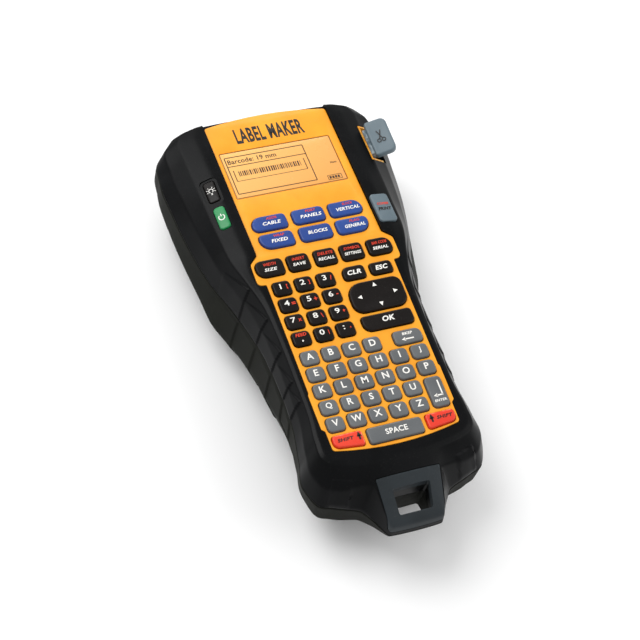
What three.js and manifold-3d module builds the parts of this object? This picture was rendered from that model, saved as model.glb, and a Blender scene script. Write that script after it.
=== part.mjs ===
// Handheld label maker: a two-shell case with a flat faceplate, a display, a keypad and two back doors,
// around a tape cassette, a print and feed mechanism, a cutter and a battery pack.
// Millimetres. The model is laid out from the keypad: X to the right, Y to the head, Z out of the faceplate,
// with the keypad's surface at z = 0. The last group moves it so that it lies on its back at z = 0.
import * as THREE from "three";
import { mergeVertices } from "three/addons/utils/BufferGeometryUtils.js";
import Module from "manifold-3d";

const wasm = await Module();
wasm.setup();

// ---- driving dimensions ----
const wall = 2.2; // case wall
const gap = 0.3; // clearance between pieces that touch
const keyGap = 0.35; // clearance around a key in its hole
const shellDepth = 52; // keypad surface to the flat of the back
const faceTilt = THREE.MathUtils.degToRad(3.8); // the head's face leans back from the keypad
const bendY = 59.5; // where it starts to lean
const plateThickness = 2;
const ledge = 0.7; // rim of the case that the faceplate rests on
const ledgeDepth = 2.3;
const keyProud = 1.3; // key tops above the faceplate
const keyFlange = 0.3; // lip that keeps a key under the faceplate
const keyFlangeTop = -2.4;
const keyFlangeBottom = -3.4;
const keyTravel = 1;
const matThickness = 1.2;
const boardTop = -8.6;
const boardThickness = 1.6;
const windowThickness = 1.2;
const doorThickness = 2.2;
const hingeRadius = 1.2;
const hingeClearance = 1; // round the barrel of a door, in the case
const cassetteDepth = 26;
const chassisTop = -17;
const chassisThickness = 2;
const gearModule = 0.8;
const gearDepth = 3;
const pinionTeeth = 12;
const idlerTeeth = 20;
const platenTeeth = 18;
const platenX = 19.8;
const feedY = 132; // line of the gear centres
const platenRadius = 4.2;
const leverX = 46.6; // cutter lever's pivot
const leverZ = -13;
const leverArm = 16; // pivot to the tip that pushes the carriage
const screwRadius = 1.4;
const screwHeadRadius = 3;
const bossRadius = 3.6;
const backZ = -shellDepth;
const tapeX = platenX + platenRadius + 0.2; // the tape runs along this line

// ---- finishes ----
const finish = (color, roughness, metalness = 0) =>
  new THREE.MeshStandardMaterial({ color, roughness, metalness });
const finishes = {
  caseBlack: finish(0x1b1d1f, 0.55),
  plateYellow: finish(0xf9b01e, 0.45),
  hotBlue: finish(0x1a4f9c, 0.4),
  keyBlack: finish(0x17110f, 0.45),
  keyGrey: finish(0x66696b, 0.5),
  keyRed: finish(0xf0402a, 0.45),
  powerGreen: finish(0x00995a, 0.45),
  leverGrey: finish(0x6b7b82, 0.5),
  loopGrey: finish(0x475054, 0.6),
  windowAmber: finish(0xe6ae68, 0.15),
  steel: finish(0xb8bcc0, 0.35, 1),
  brass: finish(0xc9a24a, 0.35, 1),
  boardGreen: finish(0x1f6b3a, 0.5),
  rubber: finish(0x2a2a2c, 0.85),
  whitePlastic: finish(0xe4e2da, 0.5),
  cellGrey: finish(0x8f9498, 0.5),
};

// ---- solids ----
// A closed geometry becomes a solid that can be joined and cut.
function solidOf(geometry) {
  const bare = new THREE.BufferGeometry();
  bare.setAttribute("position", geometry.getAttribute("position"));
  if (geometry.index) bare.setIndex(geometry.index);
  const merged = mergeVertices(bare, 1e-4);
  return new wasm.Manifold(
    new wasm.Mesh({
      numProp: 3,
      vertProperties: merged.getAttribute("position").array,
      triVerts: new Uint32Array(merged.index.array),
    }),
  );
}

function geometryOf(solid) {
  const mesh = solid.getMesh();
  const geometry = new THREE.BufferGeometry();
  geometry.setAttribute("position", new THREE.BufferAttribute(new Float32Array(mesh.vertProperties), 3));
  geometry.setIndex(new THREE.BufferAttribute(new Uint32Array(mesh.triVerts), 1));
  return geometry;
}

const joined = (first, ...rest) => rest.reduce((sum, next) => sum.add(next), first);
const cutBy = (first, ...rest) => rest.reduce((sum, next) => sum.subtract(next), first);

// Turns a geometry about X, Y and Z and then moves it.
function placed(geometry, position, rotation = [0, 0, 0]) {
  const turn = new THREE.Matrix4().makeRotationFromEuler(new THREE.Euler(...rotation));
  geometry.applyMatrix4(turn.setPosition(...position));
  return geometry;
}

const tiltMatrix = new THREE.Matrix4()
  .makeTranslation(0, bendY, 0)
  .multiply(new THREE.Matrix4().makeRotationX(-faceTilt))
  .multiply(new THREE.Matrix4().makeTranslation(0, -bendY, 0));

// A block from its lowest to its highest corner.
function block(low, high) {
  const size = high.map((value, axis) => value - low[axis]);
  const middle = high.map((value, axis) => (value + low[axis]) / 2);
  return solidOf(placed(new THREE.BoxGeometry(...size), middle));
}

function drum(radius, low, high, x = 0, y = 0, sides = 20) {
  const geometry = new THREE.CylinderGeometry(radius, radius, high - low, sides);
  return solidOf(placed(geometry, [x, y, (low + high) / 2], [Math.PI / 2, 0, 0]));
}

// A round bar along X or Y.
function barAlongX(radius, low, high, y, z, sides = 16) {
  const geometry = new THREE.CylinderGeometry(radius, radius, high - low, sides);
  return solidOf(placed(geometry, [(low + high) / 2, y, z], [0, 0, Math.PI / 2]));
}

function barAlongY(radius, low, high, x, z, sides = 16) {
  const geometry = new THREE.CylinderGeometry(radius, radius, high - low, sides);
  return solidOf(placed(geometry, [x, (low + high) / 2, z]));
}

// An outline whose corners [x, y, radius] are rounded: a small one has one facet and a large one two.
function roundedOutline(corners, fixedSteps = 0) {
  const points = [];
  corners.forEach(([x, y, radius = 0], i) => {
    const corner = new THREE.Vector2(x, y);
    if (!radius) {
      points.push(corner);
      return;
    }
    const [px, py] = corners[(i + corners.length - 1) % corners.length];
    const [nx, ny] = corners[(i + 1) % corners.length];
    const back = new THREE.Vector2(px, py).sub(corner).normalize();
    const ahead = new THREE.Vector2(nx, ny).sub(corner).normalize();
    const steps = fixedSteps || (radius > 2.9 ? 2 : 1);
    const half = Math.acos(THREE.MathUtils.clamp(back.dot(ahead), -1, 1)) / 2;
    const reach = radius / Math.tan(half);
    const start = corner.clone().addScaledVector(back, reach);
    const end = corner.clone().addScaledVector(ahead, reach);
    const bisector = back.clone().add(ahead).normalize();
    const centre = corner.clone().addScaledVector(bisector, radius / Math.sin(half));
    const from = start.clone().sub(centre).angle();
    const difference = end.clone().sub(centre).angle() - from;
    const turn = Math.atan2(Math.sin(difference), Math.cos(difference));
    for (let k = 0; k <= steps; k += 1) {
      const angle = from + (turn * k) / steps;
      const spoke = new THREE.Vector2(Math.cos(angle), Math.sin(angle)).multiplyScalar(radius);
      points.push(spoke.add(centre));
    }
  });
  return points;
}

// The corners of a rectangle about (x, y), from the right-top one anticlockwise, with one radius or four.
function boxCorners(x, y, width, height, radii) {
  const [rt, lt, lb, rb] = Array.isArray(radii) ? radii : [radii, radii, radii, radii];
  const [a, b] = [width / 2, height / 2];
  return [[x + a, y + b, rt], [x - a, y + b, lt], [x - a, y - b, lb], [x + a, y - b, rb]];
}

const rectangle = (x, y, width, height, radii, steps = 0) =>
  roundedOutline(boxCorners(x, y, width, height, radii), steps);

// The corners of a convex outline whose edges are all moved out by a distance.
function grown(corners, distance) {
  return corners.map(([x, y, radius], i) => {
    const [px, py] = corners[(i + corners.length - 1) % corners.length];
    const [nx, ny] = corners[(i + 1) % corners.length];
    const arriving = new THREE.Vector2(x - px, y - py).normalize();
    const leaving = new THREE.Vector2(nx - x, ny - y).normalize();
    const spread = 1 + arriving.dot(leaving);
    return [
      x + (distance * (arriving.y + leaving.y)) / spread,
      y - (distance * (arriving.x + leaving.x)) / spread,
      Math.max(radius + distance, 0.3),
    ];
  });
}

function prismGeometry(points, low, high) {
  const shape = new THREE.Shape(points);
  const geometry = new THREE.ExtrudeGeometry(shape, { depth: high - low, bevelEnabled: false });
  return geometry.translate(0, 0, low);
}

const prism = (points, low, high) => solidOf(prismGeometry(points, low, high));
const tiltedPrism = (points, low, high) => solidOf(prismGeometry(points, low, high).applyMatrix4(tiltMatrix));

// The part of an outline on one side of the bend: below it for side 1, above it for side -1.
function besideBend(points, side) {
  const kept = [];
  points.forEach((point, i) => {
    const next = points[(i + 1) % points.length];
    const here = side * (bendY - point.y);
    const there = side * (bendY - next.y);
    if (here >= 0) kept.push(point);
    if (here * there < 0) kept.push(point.clone().lerp(next, here / (here - there)));
  });
  return kept;
}

// A slab that follows the face: flat under the keypad, leaning under the head.
// The leaning half is a sheared prism, so the two halves meet exactly along the bend.
function faceSlab(points, low, high) {
  const slope = Math.tan(faceTilt);
  const shear = new THREE.Matrix4().set(1, 0, 0, 0, 0, 1, 0, 0, 0, -slope, 1, slope * bendY, 0, 0, 0, 1);
  const leaning = prismGeometry(besideBend(points, -1), low, high).applyMatrix4(shear);
  return prism(besideBend(points, 1), low, high).add(solidOf(leaning));
}

// A closed skin through rings of points, the highest ring first, all running anticlockwise from above.
// A ring starts at the middle of the head's end and its right half mirrors its left one,
// so the caps are ladders of level strips from side to side.
function loft(rings) {
  const count = rings[0].length;
  const positions = rings.flat().flatMap((point) => [point.x, point.y, point.z]);
  const index = [];
  for (let k = 0; k < rings.length - 1; k += 1) {
    for (let i = 0; i < count; i += 1) {
      const a = k * count + i;
      const b = k * count + ((i + 1) % count);
      const c = b + count;
      const d = a + count;
      index.push(d, c, b, d, b, a);
    }
  }
  const half = count / 2;
  const cap = (offset, upward) => {
    const face = (...corners) => {
      const ordered = upward ? corners : corners.reverse();
      index.push(...ordered.map((corner) => corner + offset));
    };
    face(0, 1, count - 1);
    for (let i = 1; i < half - 1; i += 1) {
      face(i, i + 1, count - i);
      face(i + 1, count - i - 1, count - i);
    }
    face(half - 1, half, half + 1);
  };
  cap(0, true);
  cap((rings.length - 1) * count, false);
  const geometry = new THREE.BufferGeometry();
  geometry.setAttribute("position", new THREE.Float32BufferAttribute(positions, 3));
  geometry.setIndex(index);
  return solidOf(geometry);
}

// ---- the case's form ----
// Each row is one station of the right-hand half, from the head's end round the side to the strap loop.
// Its points go from the faceplate's edge over the brow, crest and flank to the split line,
// and on over the grip's bulge and the haunch to the flat back. The split line's height comes from splitZ.
const caseStations = [
  { inner: [0, 144.9, -5.7], brow: [0, 146, -6], crest: [0, 146.2, -6.6], flank: [0, 146.5, -9.5],
    split: [0, 146.5], bulge: [0, 146.2, -27], haunch: [0, 143.5, -42], back: [0, 138, backZ] },
  { inner: [32.4, 142.4, -4.6], brow: [34, 144.2, -4.9], crest: [34.2, 144.9, -5.6], flank: [34.2, 145.6, -9],
    split: [34, 145.2], bulge: [34, 144.6, -27], haunch: [33, 142, -42], back: [31, 136.5, backZ] },
  { inner: [32.4, 140, -4.4], brow: [37.6, 143.3, -4.8], crest: [46, 142.4, -7.2], flank: [49.8, 142.2, -10],
    split: [51.2, 141.6], bulge: [51, 141, -27], haunch: [47.5, 138.4, -42], back: [42, 132, backZ] },
  { inner: [32.4, 136, -4.1], brow: [38.7, 139.5, -4.4], crest: [47.8, 139, -7.6],
    flank: [54.8, 137.6, -11.4], split: [58.4, 135.6],
    bulge: [58.6, 134.8, -27], haunch: [54, 131.5, -42], back: [48, 126, backZ] },
  { inner: [32.4, 124, -3.3], brow: [38.7, 127, -3.4], crest: [48, 127, -6.9], flank: [56, 125, -11.9],
    split: [61.2, 124], bulge: [61.9, 122, -27], haunch: [57.5, 119, -42], back: [53, 117, backZ] },
  { inner: [32.4, 104, -1.9], brow: [38.7, 104, -1.9], crest: [47.4, 104, -5.5], flank: [55.3, 104, -11],
    split: [61, 104], bulge: [62.7, 103, -27], haunch: [57.5, 102, -42], back: [53.4, 101, backZ] },
  { inner: [32.4, 80, -0.3], brow: [38.7, 80, -0.3], crest: [46.9, 80, -3.7], flank: [53.4, 80, -9.9],
    split: [58.4, 80], bulge: [61.4, 81, -28], haunch: [56, 81, -42], back: [52.2, 81, backZ] },
  { inner: [32.4, 61.5, 1], brow: [38.4, 61, 1], crest: [45.9, 60.5, -1.9], flank: [50.3, 60, -9.5],
    split: [54, 60], bulge: [58.4, 60, -31], haunch: [53, 60, -43], back: [48.6, 60, backZ] },
  { inner: [32.4, 57, 0], brow: [38.6, 51, -0.1], crest: [42.5, 48, -1.2], flank: [46.4, 48, -9.2],
    split: [49.7, 48], bulge: [56.7, 48, -33], haunch: [50, 48, -43.5], back: [45, 48, backZ] },
  { inner: [32.4, 43, 0], brow: [36.6, 36, -0.1], crest: [38.8, 33, -1], flank: [42.8, 33, -8.4],
    split: [46.1, 33], bulge: [51.6, 34, -33], haunch: [45.4, 34, -43], back: [38.4, 34, backZ] },
  { inner: [32.4, 15, 0], brow: [35.8, 15, -0.1], crest: [37.6, 15, -0.9], flank: [41, 15, -6.9],
    split: [43.4, 15], bulge: [47.8, 17, -29], haunch: [42, 17, -42], back: [34.6, 17, backZ] },
  { inner: [32.4, -10, 0], brow: [35.6, -10, -0.1], crest: [37.3, -10, -0.9], flank: [40.4, -10, -6],
    split: [42.5, -10], bulge: [44.8, -7, -26], haunch: [39.2, -7, -41], back: [31.2, -7, backZ] },
  { inner: [32.4, -30, 0], brow: [35.8, -30, -0.1], crest: [37.6, -30, -0.9], flank: [40.8, -30, -6.1],
    split: [43, -30], bulge: [43, -26, -22], haunch: [37.8, -26, -38], back: [29.4, -24, -50] },
  { inner: [32.4, -41, 0], brow: [36.8, -41.4, -0.1], crest: [38.9, -41.8, -1], flank: [43, -44, -7.6],
    split: [44.8, -45], bulge: [44, -43.4, -26], haunch: [38.4, -41.4, -38], back: [28, -38, -47.4] },
  { inner: [31.4, -46.4, 0], brow: [36, -50.2, -0.1], crest: [38.2, -51.7, -1], flank: [43.2, -56, -8.6],
    split: [46.3, -57.5], bulge: [44.8, -57, -28.6], haunch: [38.6, -54, -37.6], back: [27, -47, -45] },
  { inner: [29.6, -47.6, 0], brow: [33.8, -52.6, -0.1], crest: [35.8, -54.6, -1], flank: [40.5, -61, -9.2],
    split: [43.4, -64.8], bulge: [42.4, -65, -29.8], haunch: [36.4, -60.4, -37.6], back: [24, -50, -44.4] },
  { inner: [24, -48.8, 0], brow: [27.4, -54.6, -0.1], crest: [29.4, -57.2, -1], flank: [33.5, -64.5, -9.4],
    split: [35.6, -68.8], bulge: [35, -69.6, -30.4], haunch: [30, -64.4, -37.4], back: [19, -52, -44.2] },
  { inner: [16, -50.2, 0], brow: [17.2, -56.3, -0.1], crest: [18.4, -58.9, -1], flank: [17.4, -67.5, -6.2],
    split: [23, -73.8], bulge: [22.6, -73.6, -30], haunch: [19, -66.4, -36.4], back: [13, -53, -44] },
  { inner: [11, -50.8, 0], brow: [11.5, -57, -0.1], crest: [12, -59.8, -1], flank: [15.8, -77, -10.1],
    split: [18.6, -79.8], bulge: [17.8, -79.4, -27.6], haunch: [14, -68.4, -35.6], back: [9, -53.5, -44] },
  { inner: [5, -51.2, 0], brow: [5.6, -57.4, -0.1], crest: [6, -60.2, -1], flank: [13.4, -86.5, -14.2],
    split: [13.6, -87.8], bulge: [12.6, -86.4, -26], haunch: [8, -70.4, -35], back: [5, -54, -44] },
  { inner: [0, -51.3, 0], brow: [0, -57.5, -0.1], crest: [0, -60.3, -1], flank: [0, -87, -14.4],
    split: [0, -88.4], bulge: [0, -87, -26], haunch: [0, -71, -35], back: [0, -54, -44] },
];

// The split line dips at the head and the loop and rises along the grip.
const splitCourse = [[-95, -23], [-75, -20.5], [-58, -18.5], [-46, -16.5], [-29, -12.5], [-10, -12.5],
  [15, -15], [31, -18], [51, -20.5], [85, -18.5], [150, -17.5]];

function splitZ(y) {
  const next = Math.max(1, splitCourse.findIndex(([at]) => at >= y));
  const [[y0, z0], [y1, z1]] = [splitCourse[next - 1], splitCourse[next]];
  return z0 + ((z1 - z0) * (y - y0)) / (y1 - y0);
}

caseStations.forEach((station) => station.split.push(splitZ(station.split[1])));

// One ring of the case, from the half outline and its mirror image.
function caseRing(level, lift = 0) {
  const half = caseStations.map((station) => station[level]);
  const last = half.length - 1;
  const left = half.slice(1, last).map(([x, y, z]) => [-x, y, z]);
  const right = half.slice(1, last).reverse();
  const loop = [half[0], ...left, half[last], ...right];
  return loop.map(([x, y, z]) => new THREE.Vector3(x, y, z + lift));
}

// The same ring moved inwards by a distance.
function insetRing(ring, distance, lift = 0) {
  return ring.map((point, i) => {
    const before = ring[(i + ring.length - 1) % ring.length];
    const after = ring[(i + 1) % ring.length];
    const along = new THREE.Vector2(after.x - before.x, after.y - before.y).normalize();
    return new THREE.Vector3(point.x - along.y * distance, point.y + along.x * distance, point.z + lift);
  });
}

const noseY = -62.5; // the case is solid past here, round the strap hole
const reach = 200;
const inHollow = block([-reach, noseY, -reach], [reach, reach, reach]);
const faceDepth = ledgeDepth + 2.3; // faceplate surface to the case's inside

const frontForm = loft(["inner", "brow", "crest", "flank", "split"].map((level) => caseRing(level)));
const frontHollow = loft([
  insetRing(caseRing("inner"), 0.4, -faceDepth),
  insetRing(caseRing("crest"), wall, -wall),
  insetRing(caseRing("flank"), wall, -1),
  insetRing(caseRing("split"), wall, -8),
]).intersect(inHollow);
const rimInset = 3; // the grip is wider than the split line, so the hollow starts further in at the rim
const rearForm = loft([caseRing("split", -gap), caseRing("bulge"), caseRing("haunch"), caseRing("back")]);
const rearHollow = loft([
  insetRing(caseRing("split"), wall + rimInset, 8),
  insetRing(caseRing("bulge"), wall),
  insetRing(caseRing("haunch"), wall, 1),
  insetRing(caseRing("back"), wall, wall),
]).intersect(inHollow);

// ---- faceplate outline ----
// Points between two edges on an arc that rises to the middle.
function crown(halfWidth, edgeY, middleY, steps) {
  const points = [];
  for (let k = 0; k <= steps; k += 1) {
    const share = 1 - (2 * k) / steps;
    points.push([halfWidth * share, edgeY + (middleY - edgeY) * (1 - share * share)]);
  }
  return points;
}

// The faceplate's outline, grown on every side by a distance. openHead runs it out over the head's end.
function plateOutline(grow, openHead = false) {
  const right = [
    [32.5 + grow, -38.6 + grow / 2],
    [34 + grow, -37.2 + grow / 2],
    [34.1 + grow, -18.8 - grow / 2],
    [33.5 + grow, -17.3 - grow / 2],
    [33.6 + grow, 43.8 - grow],
    [37.8 + grow, 43.8 - grow],
    [37.8 + grow, 56.3 + grow / 2],
    [33.2 + grow, bendY + 1 + grow / 2],
  ];
  const left = right.map(([x, y]) => [-x, y]).reverse();
  const head = openHead
    ? [[33.2 + grow, 160], [-33.2 - grow, 160]]
    : crown(33.2 + grow, 142.5 + grow, 145.6 + grow, 6);
  const foot = crown(32.4 + grow, -49 - grow, -52.6 - grow, 6).map(([x, y]) => [-x, y]);
  return [...right, ...head, ...left, ...foot].map(([x, y]) => new THREE.Vector2(x, y));
}

// ---- keys ----
const letter = { pitch: 10.76, row: 9.1, x: -26.8, width: 8.6, height: 7.5, radius: 1.8 };
const digit = { pitch: 11.4, row: 9.6, x: -27.1, y: 39.7, width: 9, height: 7.8, radius: 1.9 };
const hot = { top: 77.9, bottom: 67, height: 8.7 };
const functionRow = { y: 52.05, height: 9.3 };

const letterKey = (column, row) =>
  boxCorners(letter.x + letter.pitch * column, -letter.row * row, letter.width, letter.height, letter.radius);
const digitKey = (column, row) => boxCorners(
  digit.x + digit.pitch * column, digit.y - digit.row * row, digit.width, digit.height, digit.radius);
const span = (left, right, y, height, radii) =>
  boxCorners((left + right) / 2, y, right - left, height, radii);
const shiftKey = [[-16.3, -42.2, 1.4], [-31.2, -42.2, 1.4], [-31.2, -48.2, 3], [-16.3, -49.9, 1.2]];
const lettersInRow = [4, 6, 6, 5, 5];

// Each keypad node: its keys, and the side of the bend it is on. A row of like keys shares one web.
const keyNodes = [
  { name: "hot_key_row_1", finish: "hotBlue", leaning: true, keys: [
    span(-29.6, -11.4, hot.top, hot.height, [2, 5, 3, 2]),
    span(-8.1, 8.7, hot.top, hot.height, 2.2),
    span(11.5, 28.9, hot.top, hot.height, [5, 2, 2, 3])] },
  { name: "hot_key_row_2", finish: "hotBlue", leaning: true, keys: [
    span(-28.9, -11.4, hot.bottom, hot.height, [2, 2.2, 5.5, 2]),
    span(-8.1, 8.7, hot.bottom, hot.height, 2.2),
    span(11.5, 28.6, hot.bottom, hot.height, [2.2, 2, 2, 5.5])] },
  { name: "function_key_row", finish: "keyBlack", keys: [
    span(-36.3, -22.1, functionRow.y, functionRow.height, [2, 3.5, 4.4, 2]),
    span(-19.9, -8.7, functionRow.y, functionRow.height, 2),
    span(-5.7, 5.5, functionRow.y, functionRow.height, 2),
    span(8.1, 19.9, functionRow.y, functionRow.height, 2),
    span(22.5, 35.3, functionRow.y, functionRow.height, [4.4, 2, 2, 3.2])] },
  { name: "clear_key", finish: "keyBlack", keys: [span(4.9, 16.6, 40.2, 7.5, [1.8, 3.6, 1.8, 1.8])] },
  { name: "escape_key", finish: "keyBlack", keys: [span(19.4, 31, 40, 6.8, 1.8)] },
  { name: "arrow_pad", finish: "keyBlack", keys: [span(3.7, 32.1, 25.7, 16.6, [4, 7.5, 5, 5.5])] },
  { name: "ok_key", finish: "keyBlack", keys: [span(4.7, 31.1, 11.1, 8.4, [1.8, 1.8, 4, 2.6])] },
  ...[0, 1, 2, 3].map((row) => ({
    name: "number_row_" + (row + 1), finish: "keyBlack",
    keys: [0, 1, 2].map((column) => digitKey(column, row)),
  })),
  ...lettersInRow.map((count, row) => ({
    name: "letter_row_" + (row + 1), finish: "keyGrey",
    keys: Array.from({ length: count }, (_, column) => letterKey(column, row)),
  })),
  { name: "backspace_key", finish: "keyGrey",
    keys: [span(16.8, 31.4, 0, letter.height, [3, 1.8, 1.8, 1.8])] },
  { name: "enter_key", finish: "keyGrey", keys: [span(22.8, 31.3, -31.85, 16.2, 1.8)] },
  { name: "space_key", finish: "keyGrey", keys: [span(-13.9, 13.9, -46.4, 8.2, 1.4)] },
  { name: "left_shift_key", finish: "keyRed", keys: [shiftKey] },
  { name: "right_shift_key", finish: "keyRed",
    keys: [shiftKey.map(([x, y, radius]) => [-x, y, radius]).reverse()] },
];

const webShare = 0.66; // a row's web is this share of its keys' height

const keyOutline = (key, grow) => roundedOutline(grown(key, grow));

function keyNodeSolid({ keys }) {
  const caps = keys.map((key) => prism(keyOutline(key, 0), keyFlangeTop - 0.2, keyProud));
  if (keys.length === 1) {
    return joined(prism(keyOutline(keys[0], keyFlange), keyFlangeBottom, keyFlangeTop), ...caps);
  }
  const across = keys.flat().map(([x]) => x);
  const up = keys.flat().map(([, y]) => y);
  const [left, right] = [Math.min(...across) - keyFlange, Math.max(...across) + keyFlange];
  const [bottom, top] = [Math.min(...up), Math.max(...up)];
  const depth = (top - bottom) * webShare;
  const web = rectangle((left + right) / 2, (bottom + top) / 2, right - left, depth, 0.6);
  return joined(prism(web, keyFlangeBottom, keyFlangeTop), ...caps);
}

// ---- display ----
const display = { x: -1.2, y: 110.5, width: 59.8, height: 29.2, radius: 0.8, rim: 1.6 };

// ---- shoulder buttons ----
// A button in a shoulder stands on a turned frame, set by its place and its lean to the side.
const shoulderButtons = {
  backlight_button: { x: -42.3, y: 103.4, z: -2.9, lean: -23, width: 5.8, length: 12.4, radius: 1,
    proud: -0.2, finish: "keyBlack" },
  power_button: { x: -42.1, y: 86.6, z: -2, lean: -23, width: 5.8, length: 13.2, radius: 1.8, proud: 0.9,
    finish: "powerGreen" },
  print_button: { x: 39.4, y: 73.7, z: -0.15, lean: 10, width: 9.8, length: 17.4, radius: 1.4, proud: 1,
    finish: "leverGrey" },
};
const buttonFlangeDepth = 6.6; // the button's lip sits this far below the shoulder's surface

const shoulderOutline = (button, grow) =>
  rectangle(0, 0, button.width + 2 * grow, button.length + 2 * grow, button.radius + grow);
const shoulderTurn = (button) => [-faceTilt, THREE.MathUtils.degToRad(button.lean), 0];

function shoulderHole(button) {
  const geometry = prismGeometry(shoulderOutline(button, keyGap), -12, 12);
  return solidOf(placed(geometry, [button.x, button.y, button.z], shoulderTurn(button)));
}

// A button in its own frame, with its lip under the shoulder.
function shoulderButton(button) {
  const stem = prism(shoulderOutline(button, 0), -buttonFlangeDepth - 0.8, button.proud);
  return stem.add(prism(shoulderOutline(button, 0.5), -buttonFlangeDepth - 1.2, -buttonFlangeDepth));
}

// ---- cutter lever ----
const lever = {
  low: 106.6, high: 127.6, inner: 48.6, outer: 59.6, innerTop: -3, outerTop: 0.6, thickness: 3,
};
const endWallY = 140.5 - wall; // the cutter runs against the inside of the head's end wall
const cutterY = { low: endWallY - 2.1, high: endWallY - 0.4 }; // the lever's arm and the carriage
const slot = { left: 46.6, right: 56.4, low: 106.2, high: 129 };

function cutterLever() {
  const rise = Math.atan2(lever.outerTop - lever.innerTop, lever.outer - lever.inner);
  const width = Math.hypot(lever.outer - lever.inner, lever.outerTop - lever.innerTop);
  const middleY = (lever.low + lever.high) / 2;
  const outline = rectangle(width / 2, 0, width, lever.high - lever.low, [3, 1, 1, 3]);
  const paddle = prismGeometry(outline, -lever.thickness, 0);
  placed(paddle, [lever.inner, middleY, lever.innerTop], [0, -rise, 0]);
  const root = block(
    [leverX + 1.2, lever.low + 3, leverZ - 1], [leverX + 4.6, lever.high - 3, lever.innerTop - 2.2]);
  const shaft = barAlongY(1.8, lever.low + 1, cutterY.high, leverX, leverZ);
  const arm = block([leverX - 1.2, cutterY.low, leverZ - leverArm], [leverX + 1.2, cutterY.high, leverZ]);
  return joined(solidOf(paddle), root, shaft, arm);
}

// The yellow liner of the slot that the lever comes out of. Its rim follows the shoulder.
function cutterGuide() {
  const [left, right] = [slot.left + gap, slot.right - gap];
  const [low, high] = [slot.low + gap, slot.high - gap];
  const lip = 0.9;
  const outer = block([left, low, -10.6], [right, high, 2]);
  const inner = block([left + lip, low + lip, -20], [right - lip, high - lip, 10]);
  return outer.subtract(inner).intersect(frontForm);
}

// ---- gears ----
function gearPoints(teeth, phase) {
  const pitchRadius = (gearModule * teeth) / 2;
  const tip = pitchRadius + gearModule * 0.9;
  const foot = pitchRadius - gearModule * 1.1;
  const step = (2 * Math.PI) / teeth;
  const points = [];
  for (let k = 0; k < teeth; k += 1) {
    [[-0.29, foot], [-0.1, tip], [0.1, tip], [0.29, foot]].forEach(([share, radius]) => {
      const angle = phase + (k + share) * step;
      points.push(new THREE.Vector2(radius * Math.cos(angle), radius * Math.sin(angle)));
    });
  }
  return points;
}

const gearRadius = (teeth) => (gearModule * teeth) / 2;
const idlerX = platenX - gearRadius(platenTeeth) - gearRadius(idlerTeeth);
const motorX = idlerX - gearRadius(idlerTeeth) - gearRadius(pinionTeeth);
const gearLow = chassisTop + 0.6;
const gearHigh = gearLow + gearDepth;

function gear(teeth, phase, x, bore) {
  const body = solidOf(placed(prismGeometry(gearPoints(teeth, phase), gearLow, gearHigh), [x, feedY, 0]));
  return bore ? body.subtract(drum(bore, gearLow - 1, gearHigh + 1, x, feedY)) : body;
}

// ---- tape, doors and back ----
const cassette = { left: -38, right: 36, low: 66, high: 120, top: -20.5 };
const cassetteBottom = cassette.top - cassetteDepth;
const labelSpool = { x: -13, y: 93, radius: 21 };
const ribbonSpool = { x: 22, y: 84, radius: 10 };
const takeUpSpool = { x: 22, y: 107, radius: 6.5 };
const chassis = { half: 40, low: 63.4, high: 139.6, wall: 1.6 };
const cassetteDoor = { left: -41.5, right: 41.5, low: 61.4, hinge: 124.8, rim: 2 };
const batteryDoor = { left: -24, right: 24, low: -6, hinge: 56, rim: 3 };
const doorFrameDepth = 4.7; // outside of the back to the inside of the frame round a door
const battery = { half: 20.5, low: -2, high: 50, top: -28, bottom: -49 };

// A back door: a leaf that hangs from a barrel along X at its upper edge, with a finger notch at the lower.
function backDoor(door) {
  const { left, right, low, hinge } = door;
  const leaf = prism(rectangle((left + right) / 2, (low + hinge) / 2, right - left, hinge - low, 1.5),
    backZ, backZ + doorThickness);
  const barrel = barAlongX(hingeRadius, left, right, hinge, backZ + hingeRadius);
  const notch = block([-7, low - 1, backZ - 1], [7, low + 1.6, backZ + 1]);
  return leaf.add(barrel).subtract(notch);
}

// The opening that a back door lies in, with the groove that its barrel turns in.
function doorOpening({ left, right, low, hinge, rim }) {
  const [across, up] = [(left + right) / 2, (low + hinge) / 2];
  const outline = rectangle(across, up, right - left + 2 * gap, hinge - low + 2 * gap, 1.5 + gap);
  const recess = prism(outline, backZ - 5, backZ + doorThickness + gap);
  const groove = barAlongX(hingeRadius + hingeClearance, left - gap, right + gap, hinge, backZ + hingeRadius);
  const hole = block([left + rim, low + rim, backZ - 5], [right - rim, hinge - rim - 1, backZ + 6]);
  return joined(recess, groove, hole);
}

// The frame round it, on the inside of the back.
const doorFrame = ({ left, right, low, hinge }) =>
  block([left - 3, low - 3, backZ + 1], [right + 3, hinge + 3.5, backZ + doorFrameDepth]);

// ---- screws ----
const screwPlaces = [
  { x: -48, y: 75, head: -48 }, { x: 48, y: 75, head: -48 },
  { x: -30, y: -55, head: -33 }, { x: 30, y: -55, head: -33 },
];
const screwTip = -13;

const caseScrew = ({ x, y, head }) => joined(
  drum(screwHeadRadius, head, head + 2, x, y),
  drum(screwRadius, head + 1, screwTip, x, y, 12),
).subtract(block([x - 2, y - 0.4, head - 1], [x + 2, y + 0.4, head + 0.9]));

// A screw's passage, from outside the back to its thread.
const screwPassage = ({ x, y, head }) => joined(
  drum(screwHeadRadius + gap, head - 20, head + 2 + gap, x, y),
  drum(screwRadius + gap, head, screwTip + gap, x, y, 12),
);

// ---- the case ----
const loopSlope = Math.atan2(14.4 - 1, 87 - 60.3);
const strapHole = [[9.6, -71.4], [-9.6, -71.4], [-8.6, -82.8], [8.6, -82.8]];
const loopFrame = [[16.2, -65.9], [-16.2, -65.9], [-13, -100], [13, -100]];
const loopDepth = 4;

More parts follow.
